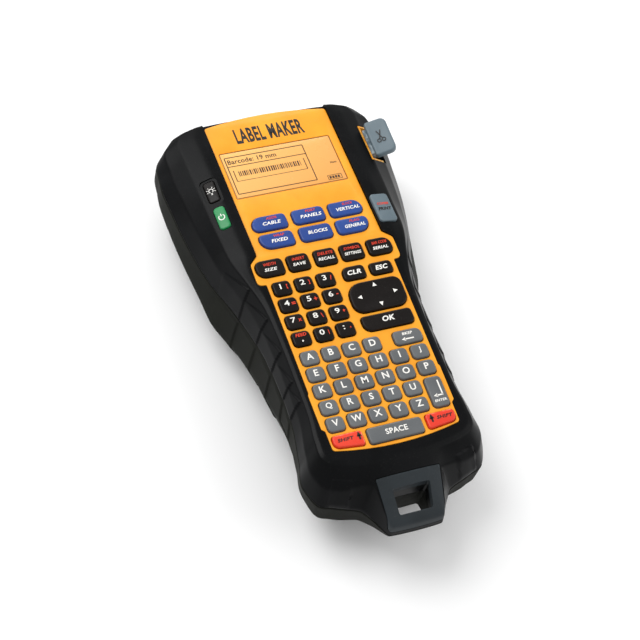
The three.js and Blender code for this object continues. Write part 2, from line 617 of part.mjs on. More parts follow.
const outlineOf = (corners, radius) => roundedOutline(corners.map(([x, y]) => [x, y, radius]));
const widened = (corners, grow) =>
  corners.map(([x, y]) => [x + Math.sign(x) * grow, y + (y > -75 ? grow : -grow)]);

// Everything above a plane that lies a distance under the loop's sloping top.
function aboveLoopPlane(depth) {
  const slab = new THREE.BoxGeometry(80, 80, 60).translate(0, 0, 30);
  return solidOf(placed(slab, [0, -60.3, -1 - depth / Math.cos(loopSlope)], [loopSlope, 0, 0]));
}

function strapLoop() {
  const body = frontForm
    .intersect(prism(outlineOf(loopFrame, 0), -60, 20))
    .intersect(aboveLoopPlane(loopDepth));
  return body.subtract(prism(outlineOf(strapHole, 0.8), -60, 20));
}

function frontCase() {
  const bosses = screwPlaces.map(({ x, y }) =>
    drum(bossRadius, splitZ(y) + 0.5, -2, x, y).intersect(frontForm));
  const shell = joined(frontForm.subtract(frontHollow), ...bosses);
  const loopRoom = prism(outlineOf(widened(loopFrame, gap), 0), -60, 20)
    .intersect(aboveLoopPlane(loopDepth + gap));
  return cutBy(
    shell,
    faceSlab(plateOutline(gap, true), -ledgeDepth, 20),
    faceSlab(plateOutline(-ledge), -20, 20),
    loopRoom,
    prism(outlineOf(widened(strapHole, 0.8), 1), -60, 20),
    block([slot.left, slot.low, -30], [slot.right, slot.high, 20]),
    ...Object.values(shoulderButtons).map(shoulderHole),
    ...screwPlaces.map(screwPassage),
  );
}

const jack = { y: 92, z: -30, radius: 4.4, inner: 51, outer: 60 };

function rearCase() {
  const bosses = screwPlaces.map(({ x, y }) =>
    drum(bossRadius + 0.6, -60, splitZ(y) - 1, x, y).intersect(rearForm));
  const shell = joined(rearForm.subtract(rearHollow), ...bosses);
  const bayWall = 2;
  const bay = block(
    [-battery.half - bayWall, battery.low - bayWall, backZ + 1],
    [battery.half + bayWall, battery.high + bayWall, battery.top + bayWall]);
  const bayRoom = block(
    [-battery.half - gap, battery.low - gap, backZ - 5],
    [battery.half + gap, battery.high + gap, battery.top + gap]);
  return cutBy(
    joined(shell, bay, doorFrame(cassetteDoor), doorFrame(batteryDoor)),
    bayRoom,
    doorOpening(cassetteDoor),
    doorOpening(batteryDoor),
    prism(outlineOf(widened(strapHole, 0.8), 1), -60, 20),
    block([tapeX - 2.7, 139, -46], [tapeX + 2.7, 160, -20.4]),
    barAlongX(jack.radius + gap, jack.inner, 80, jack.y, jack.z),
    ...screwPlaces.map(screwPassage),
  );
}

function faceplate() {
  const holes = keyNodes.flatMap(({ keys, leaning }) => keys.map((key) =>
    (leaning ? tiltedPrism : prism)(keyOutline(key, keyGap), -10, 10)));
  const { x, y, width, height, radius, rim } = display;
  const seatOutline = rectangle(x, y, width + 2 * gap, height + 2 * gap, radius + gap);
  const seat = tiltedPrism(seatOutline, -windowThickness - gap, 10);
  const view = tiltedPrism(rectangle(x, y, width - 2 * rim, height - 2 * rim, radius), -10, 10);
  return cutBy(faceSlab(plateOutline(0), -plateThickness, 0), seat, view, ...holes);
}

// ---- print and feed mechanism ----
function tapeChassis() {
  const { half, low, high, wall: thin } = chassis;
  const bottom = chassisTop - chassisThickness;
  const outer = rectangle(0, (low + high) / 2 + 0.2, 2 * half - 0.8, high - low - 0.4, [6, 6, 0, 0]);
  const base = prism(outer, bottom, chassisTop);
  const skirt = block([-half, low, backZ + doorFrameDepth + gap], [half, 122, chassisTop]);
  const room = block([-half + thin, low + thin, -60], [half - thin, 130, bottom]);
  const pins = [
    drum(1.5, chassisTop - 1, gearHigh + 0.4, idlerX, feedY, 12),
    block([27.5 - 1.8, cutterY.low - 0.2, -25], [27.5, cutterY.high - 0.3, bottom + 1]),
  ];
  const spindles = [labelSpool, ribbonSpool, takeUpSpool].map(({ x, y }) =>
    drum(1.6, -44, bottom + 1, x, y, 12));
  const holes = [drum(3, -30, -10, platenX, feedY), drum(4, -30, -10, motorX, feedY)];
  return cutBy(joined(base, skirt.subtract(room), ...pins, ...spindles), ...holes);
}

function tapeCassette() {
  const { left, right, low, high, top } = cassette;
  const corners = [[right, high, 3], [left, high, 8], [left, low, 8], [right, low, 3]];
  const inner = [[right - 1.5, high - 1.5, 2], [left + 1.5, high - 1.5, 7], [left + 1.5, low + 1.5, 7],
    [right - 1.5, low + 1.5, 2]];
  const shell = prism(roundedOutline(corners, 3), cassetteBottom, top)
    .subtract(prism(roundedOutline(inner, 3), cassetteBottom - 1, top - 1.5));
  const spindles = [labelSpool, ribbonSpool, takeUpSpool].map(({ x, y }) => drum(2.2, -60, 0, x, y, 12));
  return cutBy(shell, ...spindles, block([tapeX - 1.5, high - 3, -45], [tapeX + 1.5, high + 3, -23.5]));
}

function spool({ x, y, radius }) {
  const hub = drum(Math.min(radius - 1, 8), cassetteBottom + 1, cassette.top - 2.2, x, y);
  const roll = drum(radius, cassetteBottom + 2, cassette.top - 3.5, x, y, 28);
  return hub.add(roll).subtract(drum(2.2, -60, 0, x, y, 12));
}

function platenRoller() {
  return drum(platenRadius, -44.5, -21, platenX, feedY, 24).subtract(drum(1.55, -60, 0, platenX, feedY, 12));
}

// The shaft runs through the roller and carries the drive gear.
const platenGear = () => joined(
  gear(platenTeeth, 0, platenX), drum(1.5, -46, gearLow + 0.5, platenX, feedY, 12));

function motor() {
  const can = drum(7.4, -42.5, chassisTop - chassisThickness - gap, motorX, feedY, 28);
  return can.add(drum(3.4, -24, chassisTop - 0.2, motorX, feedY, 20));
}

function printHead() {
  const x = tapeX + 0.4;
  const end = cutterY.low - 0.8;
  const plate = block([x, 127.4, -44.5], [x + 1.4, end, -21.5]);
  const sink = block([x + 1.3, 128.4, -43], [x + 4.4, end - 0.2, -23]);
  const fins = [0, 1, 2, 3].map((k) => block([x + 2.4, 129.2 + 1.6 * k, -44], [x + 5, 130 + 1.6 * k, -22]));
  return cutBy(plate.add(sink), ...fins);
}

const blade = { edge: tapeX + 2.2, slant: 1.4, low: endWallY - 0.2, high: endWallY + 0.3, bottom: -42.6 };

function cutterCarriage() {
  const { low, high } = cutterY;
  const bar = block([30, low, -31], [leverX - 1.2 - gap, high, -26]);
  const lug = block([36, low, -27], [38, high, -21.6]);
  return bar.add(lug);
}

function cutterBlade() {
  const outline = [[blade.edge + blade.slant, blade.bottom], [32.6, blade.bottom], [35.4, -38], [35.4, -22.4],
    [blade.edge, -22.4]];
  const shape = new THREE.Shape(outline.map(([x, z]) => new THREE.Vector2(x, z)));
  const geometry = new THREE.ExtrudeGeometry(shape, { depth: blade.high - blade.low, bevelEnabled: false });
  return solidOf(placed(geometry, [0, blade.high, 0], [Math.PI / 2, 0, 0]));
}

const cutterAnvil = () => block([12, blade.low, blade.bottom], [tapeX - 2.8, blade.low + 0.8, -21]);

// A coil spring along X.
class Coil extends THREE.Curve {
  constructor(radius, low, high, turns) {
    super();
    Object.assign(this, { radius, low, high, turns });
  }

  getPoint(t, target = new THREE.Vector3()) {
    const angle = 2 * Math.PI * this.turns * t;
    return target.set(
      this.low + (this.high - this.low) * t, this.radius * Math.cos(angle), this.radius * Math.sin(angle));
  }
}

function cutterSpring() {
  const wire = new THREE.Shape(rectangle(0, 0, 0.4, 0.4, 0));
  const coil = new Coil(0.75, 27.5 + 0.3, 36 - 0.6, 5);
  const geometry = new THREE.ExtrudeGeometry(wire, { steps: 40, extrudePath: coil });
  return solidOf(placed(geometry, [0, (cutterY.low + cutterY.high) / 2, -23.2]));
}

// ---- electronics and power ----
const boardOutline = rectangle(0, 18.5, 60, 134, 2);
const matOutline = rectangle(0, 18.4, 61.2, 133.2, 2);

function mainBoard() {
  const board = prism(boardOutline, boardTop - boardThickness, boardTop);
  const processor = block([-8, 5, boardTop - boardThickness - 1.4], [8, 21, boardTop - boardThickness + 0.5]);
  const memory = block([12, -18, boardTop - boardThickness - 1.2], [22, -8, boardTop - boardThickness + 0.5]);
  return joined(board, processor, memory);
}

const matTop = keyFlangeBottom - keyTravel - gap;
const keyMat = () => faceSlab(matOutline, matTop - matThickness, matTop);

const displayGlass = () => prism(rectangle(display.x, display.y, 60, 30.4, 0.5), -4.4, -2.5);

function displayFrame() {
  const outer = prism(rectangle(display.x, display.y, 62, 32.4, 0.8), -7.4, -3.2);
  return outer.subtract(prism(rectangle(display.x, display.y, 60.6, 31, 0.5), -4.8, 5));
}

function batteryPack() {
  const middle = (battery.low + battery.high) / 2;
  return prism(rectangle(0, middle, 2 * battery.half, battery.high - battery.low, 4, 3),
    battery.bottom, battery.top);
}

function powerJack() {
  const barrel = barAlongX(jack.radius, jack.inner + 1, jack.outer, jack.y, jack.z);
  const bore = barAlongX(2.8, jack.inner + 3, 70, jack.y, jack.z);
  return barrel.subtract(bore).add(barAlongX(0.9, jack.inner + 2, jack.outer - 0.8, jack.y, jack.z, 10));
}

// ---- the assembly ----
const labelMaker = new THREE.Group();
const laidOut = new THREE.Group();
const head = new THREE.Group(); // its pieces are laid out on the keypad's plane and lean with the face
head.position.set(0, bendY * (1 - Math.cos(faceTilt)), bendY * Math.sin(faceTilt));
head.rotation.x = -faceTilt;
laidOut.add(head);
labelMaker.add(laidOut);

function add(name, solid, finishName, group = laidOut) {
  const mesh = new THREE.Mesh(geometryOf(solid), finishes[finishName]);
  mesh.name = name;
  group.add(mesh);
  return mesh;
}

add("front_case", frontCase(), "caseBlack");
add("rear_case", rearCase(), "caseBlack");
add("faceplate", faceplate(), "plateYellow");
add("strap_loop", strapLoop(), "loopGrey");
add("key_mat", keyMat(), "rubber");
add("main_board", mainBoard(), "boardGreen");

const { x: displayX, y: displayY } = display;
const windowOutline = rectangle(displayX, displayY, display.width, display.height, display.radius);
add("display_window", prism(windowOutline, -windowThickness, 0), "windowAmber", head);
add("display_glass", displayGlass(), "windowAmber", head);
add("display_frame", displayFrame(), "steel", head);

keyNodes.forEach((node) => add(node.name, keyNodeSolid(node), node.finish, node.leaning ? head : laidOut));
Object.entries(shoulderButtons).forEach(([name, button]) => {
  const mesh = add(name, shoulderButton(button), button.finish);
  mesh.position.set(button.x, button.y, button.z);
  mesh.rotation.set(...shoulderTurn(button));
});

add("cutter_lever", cutterLever(), "leverGrey");
add("cutter_guide", cutterGuide(), "plateYellow");
add("cutter_carriage", cutterCarriage(), "whitePlastic");
add("cutter_blade", cutterBlade(), "steel");
add("cutter_spring", cutterSpring(), "steel");
add("cutter_anvil", cutterAnvil(), "steel");

add("tape_chassis", tapeChassis(), "whitePlastic");
add("tape_cassette", tapeCassette(), "keyGrey");
add("label_spool", spool(labelSpool), "whitePlastic");
add("ribbon_spool", spool(ribbonSpool), "keyBlack");
add("take_up_spool", spool(takeUpSpool), "keyBlack");
add("platen_roller", platenRoller(), "rubber");
add("platen_gear", platenGear(), "whitePlastic");
add("idler_gear", gear(idlerTeeth, Math.PI / idlerTeeth, idlerX, 1.55), "whitePlastic");
add("motor_pinion", gear(pinionTeeth, 0, motorX), "brass");
add("motor", motor(), "steel");
add("print_head", printHead(), "steel");

add("battery_pack", batteryPack(), "cellGrey");
add("power_jack", powerJack(), "keyBlack");
add("cassette_door", backDoor(cassetteDoor), "caseBlack");
add("battery_door", backDoor(batteryDoor), "caseBlack");
screwPlaces.forEach((place, i) => add("case_screw_" + (i + 1), caseScrew(place), "steel"));

// The origin is under the middle of the outer box, on the surface that the back lies on.
labelMaker.updateMatrixWorld(true);
const bounds = new THREE.Box3().setFromObject(laidOut, true);
const middle = bounds.getCenter(new THREE.Vector3());
laidOut.position.set(-middle.x, -middle.y, -bounds.min.z);

export default labelMaker;
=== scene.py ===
# Looks for a handheld label maker: two case shells, a faceplate with keys, a display, a cutter lever
# and two doors.
import math

import bmesh
import bpy
import numpy as np
from mathutils import Matrix, Vector


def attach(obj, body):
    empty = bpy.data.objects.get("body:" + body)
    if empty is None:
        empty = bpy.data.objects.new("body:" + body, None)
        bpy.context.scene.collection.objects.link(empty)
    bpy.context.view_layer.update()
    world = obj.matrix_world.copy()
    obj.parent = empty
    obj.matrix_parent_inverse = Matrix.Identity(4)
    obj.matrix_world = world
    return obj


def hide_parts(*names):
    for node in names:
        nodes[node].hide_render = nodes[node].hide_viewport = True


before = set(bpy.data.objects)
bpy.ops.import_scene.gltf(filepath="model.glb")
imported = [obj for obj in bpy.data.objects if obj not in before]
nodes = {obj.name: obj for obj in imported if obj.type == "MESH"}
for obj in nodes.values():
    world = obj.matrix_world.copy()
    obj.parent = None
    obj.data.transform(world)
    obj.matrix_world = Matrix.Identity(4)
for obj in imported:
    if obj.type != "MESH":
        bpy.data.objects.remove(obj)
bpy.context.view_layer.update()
rng = np.random.default_rng(19)

# Pieces are laid out in millimetres from the keypad: x to the right, y to the head, z out of the faceplate.
layoutShift = np.array([0.0, -29.05, 52.0])  # from the keypad's origin to the part's own
mm = 0.001
face = {"tilt": math.radians(3.8), "bend": 59.5, "plate": 2.0, "ledge": 0.7, "ledgeDepth": 2.3, "back": -52.0}
gap = 0.3


# Quads between neighbouring rows of points, each row a closed loop unless wrap is off.
def gridFaces(rows, columns, wrap=True):
    row, column = np.meshgrid(np.arange(rows - 1), np.arange(columns if wrap else columns - 1), indexing="ij")
    after = (column + 1) % columns
    here, below = row * columns, (row + 1) * columns
    return np.stack([here + column, here + after, below + after, below + column], -1).reshape(-1, 4).tolist()


# Several (points, faces) shapes as one.
def combine(shapes):
    points, faces, offset = [], [], 0
    for shapePoints, shapeFaces in shapes:
        points.append(np.asarray(shapePoints, float))
        faces += [[index + offset for index in corners] for corners in shapeFaces]
        offset += len(shapePoints)
    return np.concatenate(points), faces


# Moves a shape: point = turn times the old point, plus place.
def moved(shape, place=(0, 0, 0), turn=None):
    points, faces = shape
    points = np.asarray(points, float)
    if turn is not None:
        points = points @ np.asarray(turn, float).T
    return points + np.asarray(place, float), faces


# A turn about one axis, as a matrix.
def turnAbout(axis, angle):
    return np.array(Matrix.Rotation(angle, 3, axis))


# The head's pieces lean with the face: a turn about X at the bend.
def leaned(shape):
    pivot = (0, face["bend"], 0)
    away = moved(shape, (0, -face["bend"], 0))
    return moved(away, pivot, turnAbout("X", -face["tilt"]))


# A new object in the scene, round a mesh, a curve, a light or a camera.
def addObject(name, data):
    holder = bpy.data.objects.new(name, data)
    bpy.context.scene.collection.objects.link(holder)
    return holder


# A mesh with the modifiers or the curve's fill worked out.
def evaluatedMesh(holder):
    return bpy.data.meshes.new_from_object(holder.evaluated_get(bpy.context.evaluated_depsgraph_get()))


# Runs an edit on a mesh.
def rework(mesh, edit):
    work = bmesh.new()
    work.from_mesh(mesh)
    edit(work)
    work.to_mesh(mesh)
    work.free()


def faceOutwards(work):
    bmesh.ops.recalc_face_normals(work, faces=work.faces)


# A piece from a shape in layout millimetres. A closed one has its faces turned outwards.
def makePiece(name, shape, closed=True):
    points, faces = shape
    mesh = bpy.data.meshes.new(name)
    mesh.from_pydata(((np.asarray(points) + layoutShift) * mm).tolist(), [], faces)
    if closed:
        rework(mesh, faceOutwards)
    return addObject(name, mesh)


# A piece that only cuts, keeps or joins another one.
def tool(shape):
    return makePiece("tool", shape)


# Puts the modifiers' result into the mesh.
def settle(piece):
    result = evaluatedMesh(piece)
    piece.modifiers.clear()
    piece.data = result
    return piece


# A curve or a text as a (points, faces) shape in its own units.
def curveShape(curve):
    holder = addObject(curve.name, curve)
    filled = evaluatedMesh(holder)
    bpy.data.objects.remove(holder)
    points = np.zeros(len(filled.vertices) * 3)
    filled.vertices.foreach_get("co", points)
    faces = [list(polygon.vertices) for polygon in filled.polygons]
    bpy.data.meshes.remove(filled)
    return points.reshape(-1, 3), faces


# Cuts, keeps or joins other closed pieces, and removes them.
def carve(piece, tools, operation="DIFFERENCE"):
    for cutter in tools:
        modifier = piece.modifiers.new("carve", "BOOLEAN")
        modifier.object = cutter
        modifier.operation = operation
        modifier.solver = "MANIFOLD"
    bpy.context.view_layer.update()
    settle(piece)
    for cutter in tools:
        bpy.data.objects.remove(cutter)
    return piece


# Rounds every edge that is sharper than an angle.
def bevelled(piece, width, segments, angle):
    modifier = piece.modifiers.new("edge", "BEVEL")
    modifier.width = width * mm
    modifier.segments = segments
    modifier.limit_method = "ANGLE"
    modifier.angle_limit = math.radians(angle)
    return settle(piece)


# A level face keeps its own flat shading: its border with anything that slopes is a sharp edge.
def sharpenLevelBorders(work):
    for edge in work.edges:
        level = [abs(side.normal.z) > 0.99995 for side in edge.link_faces]
        if len(level) == 2 and level[0] != level[1]:
            edge.smooth = False


# Gives a piece its finish, its shading, the body it rides on and the nodes it stands for.
def dress(piece, material, body="case", smooth=35, stands=()):
    piece.data.materials.clear()
    piece.data.materials.append(material)
    piece.data.shade_smooth()
    piece.data.set_sharp_from_angle(angle=math.radians(smooth))
    rework(piece.data, sharpenLevelBorders)
    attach(piece, body)
    if stands:
        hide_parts(*stands)
    return piece


# Points and outward normals of an outline of corners [x, y, radius]: each corner is an arc about a centre
# on its bisector.
def roundedOutline(corners, steps=5):
    points, normals = [], []
    count = len(corners)
    for i, (x, y, radius) in enumerate(corners):
        corner = np.array([x, y], float)
        back = np.array(corners[i - 1][:2], float) - corner
        ahead = np.array(corners[(i + 1) % count][:2], float) - corner
        back, ahead = back / np.linalg.norm(back), ahead / np.linalg.norm(ahead)
        first = math.atan2(back[0], -back[1])
        turn = (math.atan2(-ahead[0], ahead[1]) - first + math.pi) % (2 * math.pi) - math.pi
        angle = first + turn * np.linspace(0, 1, steps + 1)
        normal = np.stack([np.cos(angle), np.sin(angle)], -1)
        half = math.acos(np.clip(back @ ahead, -1, 1)) / 2
        bisector = (back + ahead) / max(np.linalg.norm(back + ahead), 1e-9)
        centre = corner + bisector * radius / max(math.sin(half), 1e-9)
        points.append(centre + math.copysign(radius, turn) * normal)
        normals.append(normal)
    return np.concatenate(points), np.concatenate(normals)


# Corners of a rectangle, from the right-top one anticlockwise, with one radius or four.
def boxCorners(x, y, width, height, radii):
    radii = list(radii) if isinstance(radii, (list, tuple)) else [radii] * 4
    signs = [(1, 1), (-1, 1), (-1, -1), (1, -1)]
    return [[x + sx * width / 2, y + sy * height / 2, radius] for (sx, sy), radius in zip(signs, radii)]


# The corners of a rectangle given by its edges.
def spanCorners(left, right, low, high, radii):
    return boxCorners((left + right) / 2, (low + high) / 2, right - left, high - low, radii)


# A straight-sided solid over an outline.
def prism(outline, low, high):
    points = np.asarray(outline, float)
    count = len(points)
    rings = [np.column_stack([points, np.full(count, z)]) for z in (low, high)]
    faces = gridFaces(2, count) + [list(range(count))[::-1], list(range(count, 2 * count))]
    return np.concatenate(rings), faces


# A straight-sided solid over rounded corners.
def block(corners, low, high, steps=5):
    return prism(roundedOutline(corners, steps)[0], low, high)


# A box between two opposite corners.
def slab(low, high):
    return block(spanCorners(low[0], high[0], low[1], high[1], 0.05), low[2], high[2], 1)


# A solid of revolution about an axis through place: radius r(t) and distance h(t) along the axis.
def turned(profile, sides, place, axis="Z"):
    profile = np.asarray(profile, float)
    angle = np.linspace(0, 2 * math.pi, sides, endpoint=False)
    radius, along = profile[:, 0][:, None], profile[:, 1][:, None]
    ring = np.stack([radius * np.cos(angle), radius * np.sin(angle), along + 0 * angle], -1)
    points = ring.reshape(-1, 3)
    if axis == "X":
        points = points[:, [2, 0, 1]]
    if axis == "Y":
        points = points[:, [1, 2, 0]]
    last = (len(profile) - 1) * sides
    faces = gridFaces(len(profile), sides) + [list(range(sides))[::-1], list(range(last, last + sides))]
    return points + np.asarray(place, float), faces


# A pillow: straight wall, then an edge inset e(1 - cos a) and raised e sin a, then a crown c(1 - s squared)
# that closes on the middle, where s falls from 1 to 0. A crown below zero makes a hollow instead.
def pillow(outline, normals, low, top, edge, crown, rings=6, arc=5):
    angle = np.linspace(0, math.pi / 2, arc + 1)[:, None]
    inset = np.concatenate([[[0.0]], edge * (1 - np.cos(angle))])
    height = np.concatenate([[[low]], top - edge + edge * np.sin(angle)])
    wallX = outline[:, 0] - inset * normals[:, 0]
    wallY = outline[:, 1] - inset * normals[:, 1]
    wallZ = height + 0 * wallX
    centre = np.array([wallX[-1].mean(), wallY[-1].mean()])
    share = np.linspace(1, 0, rings + 1)[1:-1, None]
    topX = centre[0] + (wallX[-1] - centre[0]) * share
    topY = centre[1] + (wallY[-1] - centre[1]) * share
    topZ = top + crown * (1 - share ** 2) + 0 * topX
    grid = np.stack([np.vstack([wallX, topX]), np.vstack([wallY, topY]), np.vstack([wallZ, topZ])], -1)
    rows, count = grid.shape[:2]
    points = np.concatenate([grid.reshape(-1, 3), [[centre[0], centre[1], top + crown]]])
    start = (rows - 1) * count
    fan = [[start + i, start + (i + 1) % count, rows * count] for i in range(count)]
    return points, gridFaces(rows, count) + fan + [list(range(count))[::-1]]


# A flat line along a path, as a closed strip: half its width to each side along the path's normal.
def stroke(path, width, low, high, loop=False):
    path = np.asarray(path, float)
    along = np.roll(path, -1, 0) - np.roll(path, 1, 0) if loop else np.gradient(path, axis=0)
    along = along / np.linalg.norm(along, axis=1, keepdims=True)
    side = np.column_stack([along[:, 1], -along[:, 0]]) * width / 2
    count = len(path)
    corners = [(path + side, low), (path + side, high), (path - side, high), (path - side, low)]
    grid = np.stack([np.column_stack([xy, np.full(count, z)]) for xy, z in corners], 1)
    if loop:
        grid = np.concatenate([grid, grid[:1]])
        points = grid[:-1].reshape(-1, 3)
        faces = [[index % (4 * count) for index in corner] for corner in gridFaces(count + 1, 4)]
        return points, faces
    ends = [[0, 1, 2, 3], [4 * count - 1, 4 * count - 2, 4 * count - 3, 4 * count - 4]]
    return grid.reshape(-1, 3), gridFaces(count, 4) + ends


# A hex colour as linear values: the display curve undone.
def linearColor(code):
    channels = [int(code[i:i + 2], 16) / 255 for i in (0, 2, 4)]
    return [c / 12.92 if c <= 0.04045 else ((c + 0.055) / 1.055) ** 2.4 for c in channels] + [1.0]


# Values or links for a node's sockets, by index or by name.
def feed(tree, node, values):
    for index, source in values:
        if hasattr(source, "links"):
            tree.links.new(source, node.inputs[index])
        else:
            node.inputs[index].default_value = source


# A shader node with its settings and its sockets' values.
def addNode(tree, kind, values=(), **settings):
    node = tree.nodes.new("ShaderNode" + kind)
    for key, value in settings.items():
        setattr(node, key, value)
    feed(tree, node, values)
    return node


def calculate(tree, operation, first, second):
    return addNode(tree, "Math", [(0, first), (1, second)], operation=operation).outputs[0]


def noise(tree, place, scale, detail):
    return addNode(tree, "TexNoise", [(0, place), (2, scale), (3, detail)]).outputs[0]


def mapRange(tree, source, low, high, toLow=0.0, toHigh=1.0):
    values = [(0, source), (1, low), (2, high), (3, toLow), (4, toHigh)]
    return addNode(tree, "MapRange", values).outputs[0]


# Moulded grain: a fine noise times a depth.
def fineGrain(tree, place, scale, depth):
    return calculate(tree, "MULTIPLY", noise(tree, place, scale, 2.0), depth)


# Slow variation between 0 and 1, for tone and gloss.
def patches(tree, place, scale):
    return mapRange(tree, noise(tree, place, scale, 4.0), 0.3, 0.7)


# Rubbed edges: where the surface is convex, broken up by a noise.
def edgeWear(tree, place, start, end):
    convex = addNode(tree, "NewGeometry").outputs["Pointiness"]
    edge = mapRange(tree, convex, start, end)
    return calculate(tree, "MULTIPLY", edge, mapRange(tree, noise(tree, place, 400.0, 3.0), 0.4, 0.65))


# Handling dust: specks that settle on faces that look up.
def dust(tree, place, amount):
    normal = addNode(tree, "NewGeometry").outputs["Normal"]
    upward = mapRange(tree, addNode(tree, "SeparateXYZ", [(0, normal)]).outputs[2], 0.2, 1.0)
    specks = mapRange(tree, noise(tree, place, 1500.0, 2.0), 0.62, 0.75)
    return calculate(tree, "MULTIPLY", calculate(tree, "MULTIPLY", upward, specks), amount)


# Hairlines: a noise drawn out along one direction, cut to its thin ridges.
def hairlines(tree, place, amount):
    drawn = addNode(tree, "Mapping", [(0, place), (2, (0.3, 0.2, 0.6)), (3, (120.0, 2600.0, 2600.0))])
    ridge = mapRange(tree, noise(tree, drawn.outputs[0], 1.0, 2.0), 0.66, 0.74)
    return calculate(tree, "MULTIPLY", ridge, amount)


# A node group round a pattern, with the pattern's settings as its sockets.
def patternGroup(pattern, **settings):
    tree = bpy.data.node_groups.new(pattern.__name__, "ShaderNodeTree")
    tree.interface.new_socket("Vector", in_out="INPUT", socket_type="NodeSocketVector")
    for label, value in settings.items():
        tree.interface.new_socket(label, in_out="INPUT", socket_type="NodeSocketFloat").default_value = value
    tree.interface.new_socket("Pattern", in_out="OUTPUT", socket_type="NodeSocketFloat")
    given, result = tree.nodes.new("NodeGroupInput"), tree.nodes.new("NodeGroupOutput")
    tree.links.new(pattern(tree, *given.outputs[:-1]), result.inputs[0])
    return tree


groups = {
    "grain": patternGroup(fineGrain, Scale=3000.0, Depth=1.0), "patches": patternGroup(patches, Scale=60.0),
    "wear": patternGroup(edgeWear, Start=0.53, End=0.66), "dust": patternGroup(dust, Amount=0.2),
    "hairlines": patternGroup(hairlines, Amount=0.3),
}

# Each finish: base and shade colours that patches mix, roughness range, grain size in points per metre and
# its height in millimetres.
finishes = {
    "caseBlack": {"base": "060708", "shade": "0a0b0d", "rough": (0.3, 0.38), "grain": 2600, "depth": 0.03,
                  "wear": "202123", "dust": 0.02, "specular": 0.1},
    "gripRubber": {"base": "161714", "shade": "1d1e1a", "rough": (0.58, 0.7), "grain": 1500, "depth": 0.08,
                   "wear": "2c2d28", "dust": 0.03, "specular": 0.1},
    "plateYellow": {"base": "ee980c", "shade": "f4a518", "rough": (0.42, 0.5), "grain": 3600, "depth": 0.02,
                    "wear": "ffd57a", "dust": 0.06},
    "hotBlue": {"base": "0c3680", "shade": "11408c", "rough": (0.38, 0.46), "grain": 3000, "depth": 0.02,
                "wear": "3f6cb0", "dust": 0.05},
    "keyBlack": {"base": "0c0807", "shade": "130e0c", "rough": (0.34, 0.42), "grain": 3000, "depth": 0.02,
                 "wear": "2a2320", "dust": 0.03, "specular": 0.18},
    "keyGrey": {"base": "56595b", "shade": "626567", "rough": (0.42, 0.5), "grain": 3000, "depth": 0.02,
                "wear": "7b7e80", "dust": 0.05},
    "keyRed": {"base": "dc2810", "shade": "e43a1e", "rough": (0.4, 0.48), "grain": 3000, "depth": 0.02,
               "wear": "ff9a80", "dust": 0.08},
    "powerGreen": {"base": "007a3e", "shade": "028646", "rough": (0.38, 0.46), "grain": 3000, "depth": 0.02,
                   "wear": "64b992", "dust": 0.04},
    "leverGrey": {"base": "55656d", "shade": "606f77", "rough": (0.42, 0.5), "grain": 2600, "depth": 0.03,
                  "wear": "a4b0b5", "dust": 0.1},
    "loopGrey": {"base": "24292c", "shade": "2d3337", "rough": (0.46, 0.56), "grain": 2400, "depth": 0.04,
                 "wear": "4a5459", "dust": 0.03, "specular": 0.2},
    "rubber": {"base": "222224", "shade": "2c2c2e", "rough": (0.78, 0.88), "grain": 1800, "depth": 0.06,
               "dust": 0.2},
    "whitePlastic": {"base": "dedcd2", "shade": "e8e6de", "rough": (0.42, 0.54), "grain": 2600, "depth": 0.03,
                     "dust": 0.08},
    "cellGrey": {"base": "84898d", "shade": "979ca0", "rough": (0.4, 0.5), "grain": 2200, "depth": 0.02,
                 "dust": 0.1},
    "boardGreen": {"base": "17552d", "shade": "226b3c", "rough": (0.32, 0.45), "grain": 1600, "depth": 0.02,
                   "dust": 0.06},
    "steel": {"base": "b2b6ba", "shade": "c6cacd", "rough": (0.26, 0.4), "metal": 1.0, "grain": 1200,
              "depth": 0.01, "hairlines": 0.5},
    "brass": {"base": "c0963c", "shade": "d0a852", "rough": (0.28, 0.42), "metal": 1.0, "grain": 1200,
              "depth": 0.01, "hairlines": 0.4},
}
# Inks: base, shade and the least roughness.
inks = {"inkWhite": ("f1efe9", "e6e4de", 0.45), "inkRed": ("e23a1c", "d8310f", 0.45),
        "inkBlack": ("0e0c0b", "171412", 0.4), "inkBrown": ("4a2d12", "3a220c", 0.4)}
for ink, (base, shade, rough) in inks.items():
    finishes[ink] = {"base": base, "shade": shade, "rough": (rough, rough + 0.1), "grain": 3000,
                     "depth": 0.01}


# A pattern's group in a material.
def placeGroup(tree, kind, place, **values):
    node = tree.nodes.new("ShaderNodeGroup")
    node.node_tree = groups[kind]
    feed(tree, node, [("Vector", place), *values.items()])
    return node.outputs[0]


# Two colours mixed by a factor.
def mixColor(tree, factor, first, second):
    return addNode(tree, "Mix", [(0, factor), (6, first), (7, second)], data_type="RGBA").outputs[2]


def newMaterial(name):
    material = bpy.data.materials.new(name)
    material.use_nodes = True
    tree = material.node_tree
    return material, tree, tree.nodes["Principled BSDF"]


